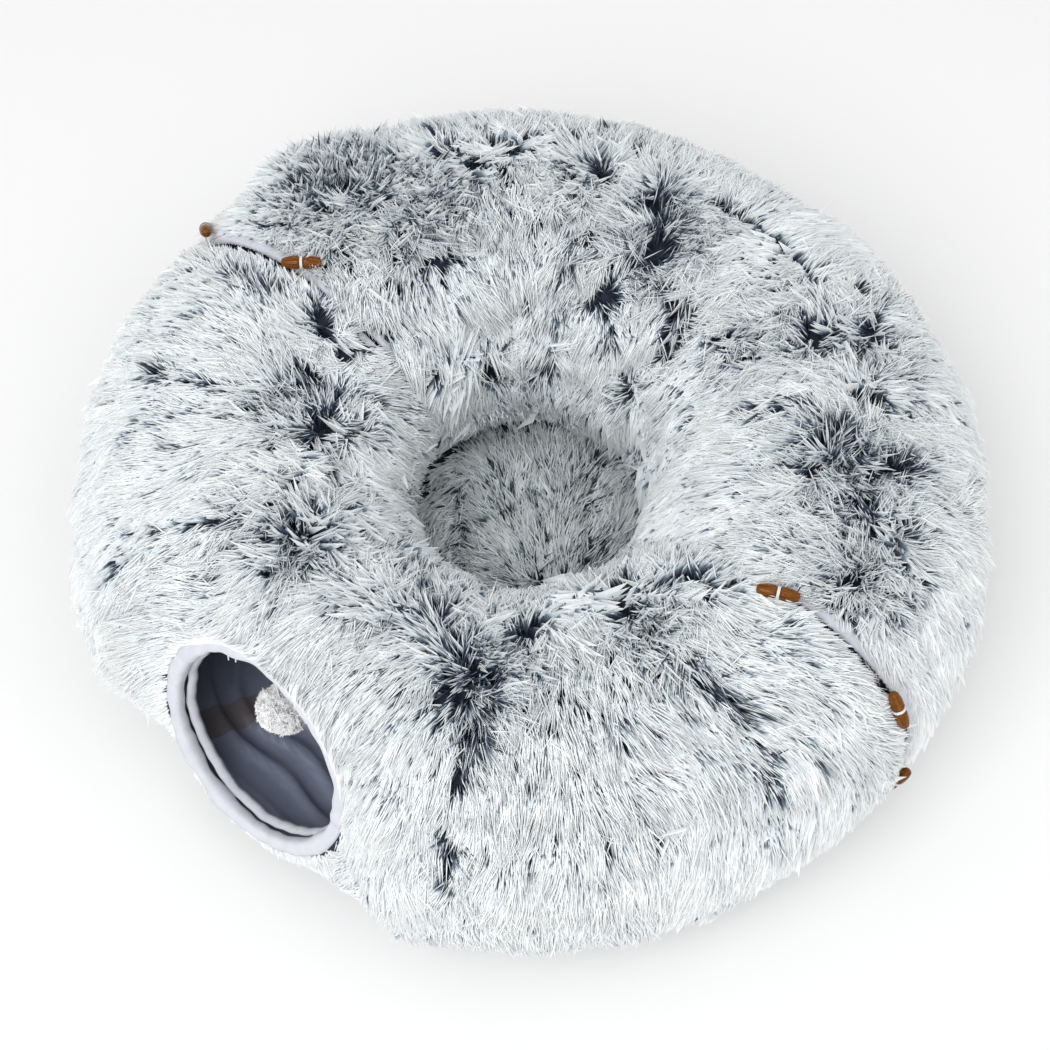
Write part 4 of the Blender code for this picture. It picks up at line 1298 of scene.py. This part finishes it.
def combMat(root, normal, outward, spread):
    # The fur fans out from the front of the centre panel, and lies slanting on the two others
    channelTurn, offset = math.radians(mat["channelTurn"]), mat["channelOffset"]
    sideways = np.array([math.cos(channelTurn), math.sin(channelTurn), 0])
    forward = np.array([-math.sin(channelTurn), math.cos(channelTurn), 0])
    across, ahead = root @ sideways, root @ forward
    fromFan = np.stack([across - matFur["fan"][0], ahead - matFur["fan"][1]], -1)
    fan = unit(fromFan)
    left = 1 - smoothStep(across, -offset - 0.004, -offset + 0.004)
    right = smoothStep(across, offset - 0.004, offset + 0.004)
    fan = (1 - left - right)[:, None] * fan
    fan += left[:, None] * matFur["leftPanel"] + right[:, None] * matFur["rightPanel"]
    fromChannel = np.abs(across) - offset
    crease = np.exp(-(fromChannel / 0.010) ** 2) * (ahead < 0.06)
    fan[:, 0] += 0.35 * crease * np.sign(fromChannel) * np.sign(across)
    comb = fan[:, :1] * sideways + fan[:, 1:] * forward
    edge = smoothStep(spread, mat["radius"] - 0.022, mat["radius"] - 0.008)
    comb += 1.6 * outward * edge[:, None]
    middle = np.exp(-(fromFan ** 2).sum(-1) / matFur["fanReach"] ** 2)
    turned = (matFur["clumpTurn"] + matFur["fanTurn"] * middle) * rng.normal(size=len(root))
    swirl = np.radians(matFur["swirl"] * waveField(root, smallWaves) + turned)
    comb = unit(comb - dot(comb, normal) * normal)
    comb = np.cos(swirl)[:, None] * comb + np.sin(swirl)[:, None] * np.cross(normal, comb)
    return comb, edge, crease, middle


def growMatFur():
    count, radius = matFur["clumps"], mat["radius"]
    spread = np.sqrt(rng.random(count)) * (radius - 0.004)
    angle = rng.uniform(0, 2 * math.pi, count)
    height = matSurface(spread, angle, mat["inset"])
    drop = smoothStep(spread, radius - 0.012, radius - 0.004)
    height = height - 0.012 * drop * rng.random(count)
    outward = levelRing(1.0, angle, 0.0)
    root = spread[:, None] * outward + height[:, None] * up
    normal = unit(up + (0.15 * spread / radius + 1.3 * drop)[:, None] * outward)
    comb, edge, crease, middle = combMat(root, normal, outward, spread)
    length = matFur["length"] * (1 + 0.12 * waveField(root, lengthWaves)) * (1 + 0.25 * edge)
    tone = matFur["tone"] + matFur["toneWave"] * waveField(root, toneWaves)
    tone += matFur["toneSpread"] * rng.normal(size=count)
    # Its edge is painted darker as painted shade under the wall's overhang, most so at the back,
    # where the gap to the wall lies in deep shadow. The channels are a little darker as painted
    # shade, and the fan's middle partly as painted shade, partly the dark roots showing
    behind = np.abs(wrapped(np.degrees(angle) - matFur["shadeTurn"])) / matFur["shadeHalf"]
    behind = 1 - smoothStep(behind, 0.6, 1.2)
    tone -= (0.15 * crease + 0.1 * middle
             + edge * (matFur["edgeShadeTone"] + matFur["backShadeTone"] * behind))
    rootLift, tipLift, strandTone, strays = (
        np.full(count, matFur[name]) for name in ("rootLift", "tipLift", "strandTone", "strays"))
    start, middle, tip, tones = growStrands(root, normal, comb, rootLift, tipLift, length, matFur,
                                            (tone, strandTone), strays, 1 / matFur["droopRadius"])
    for places in (start, middle, tip):
        places[:, 2] = np.maximum(places[:, 2], mat["underside"])
    wide = matFur["widthSpread"]
    width = matFur["width"] * rng.uniform(1 - wide, 1 + wide, len(start))
    points, faces, uv = strandMesh(start, middle, tip, width, tones, matFur["midShare"])
    makePiece("mat_fur", points, faces, matMaterial, "mat", smooth=False, uv=uv, slot="mat_plush")


def makeMatBase():
    # A thin round cloth, a little puckered on its upper side
    turn = circle(mat["sides"])
    radii = np.linspace(0.0005, mat["baseRadius"], 24)
    rings = [levelRing(radius, turn, mat["baseThickness"] + 0.0001 * np.sin(9 * turn + 60 * radius))
             for radius in radii]
    rings += [levelRing(radius, turn, 0) for radius in radii[::-1]]
    base = makeTurned("mat_underside", np.stack(rings), baseMaterial, "mat", "base_cloth")
    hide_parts("mat_base_cloth")


makeMatPad()
growMatFur()
makeMatBase()
print("mat made")

# The hoops stay as they are, in spring steel
for name, node in cad.items():
    if "hoop" in name:
        node.data.materials.clear()
        node.data.materials.append(steelMaterial)

# The floor and the lights
stage = dict(floorSize=12, floorColour=(0.93, 0.93, 0.93), skyLight=0.75, keyPower=34,
             lamps=(("key", (0.2, -1.75, 2.4), 1, 1.8), ("fill", (1.6, 0.8, 2.4), 0.3, 2.5)))


def makeStage():
    size = stage["floorSize"]
    points = np.array([(-size, -size, 0), (size, -size, 0), (size, size, 0), (-size, size, 0)])
    mesh = bpy.data.meshes.new("floor")
    mesh.from_pydata(points.tolist(), [], [(0, 1, 2, 3)])
    floor = bpy.data.objects.new("floor", mesh)
    bpy.context.scene.collection.objects.link(floor)
    mesh.materials.append(makeMaterial("floor_white", stage["floorColour"], 0.9)[0])
    world = bpy.data.worlds.new("sky")
    world.use_nodes = True
    background = world.node_tree.nodes["Background"]
    background.inputs["Color"].default_value = (1, 1, 1, 1)
    background.inputs["Strength"].default_value = stage["skyLight"]
    bpy.context.scene.world = world
    # Each lamp has a place to shine on the origin from, a share of the key's power and a width
    for name, place, share, width in stage["lamps"]:
        lamp = bpy.data.lights.new(name, "AREA")
        lamp.energy = share * stage["keyPower"]
        lamp.size = width
        item = bpy.data.objects.new(name, lamp)
        bpy.context.scene.collection.objects.link(item)
        item.location = place
        item.rotation_mode = "QUATERNION"
        item.rotation_quaternion = Vector(place).to_track_quat("Z", "Y")


makeStage()
bpy.context.scene.view_settings.view_transform = "Standard"
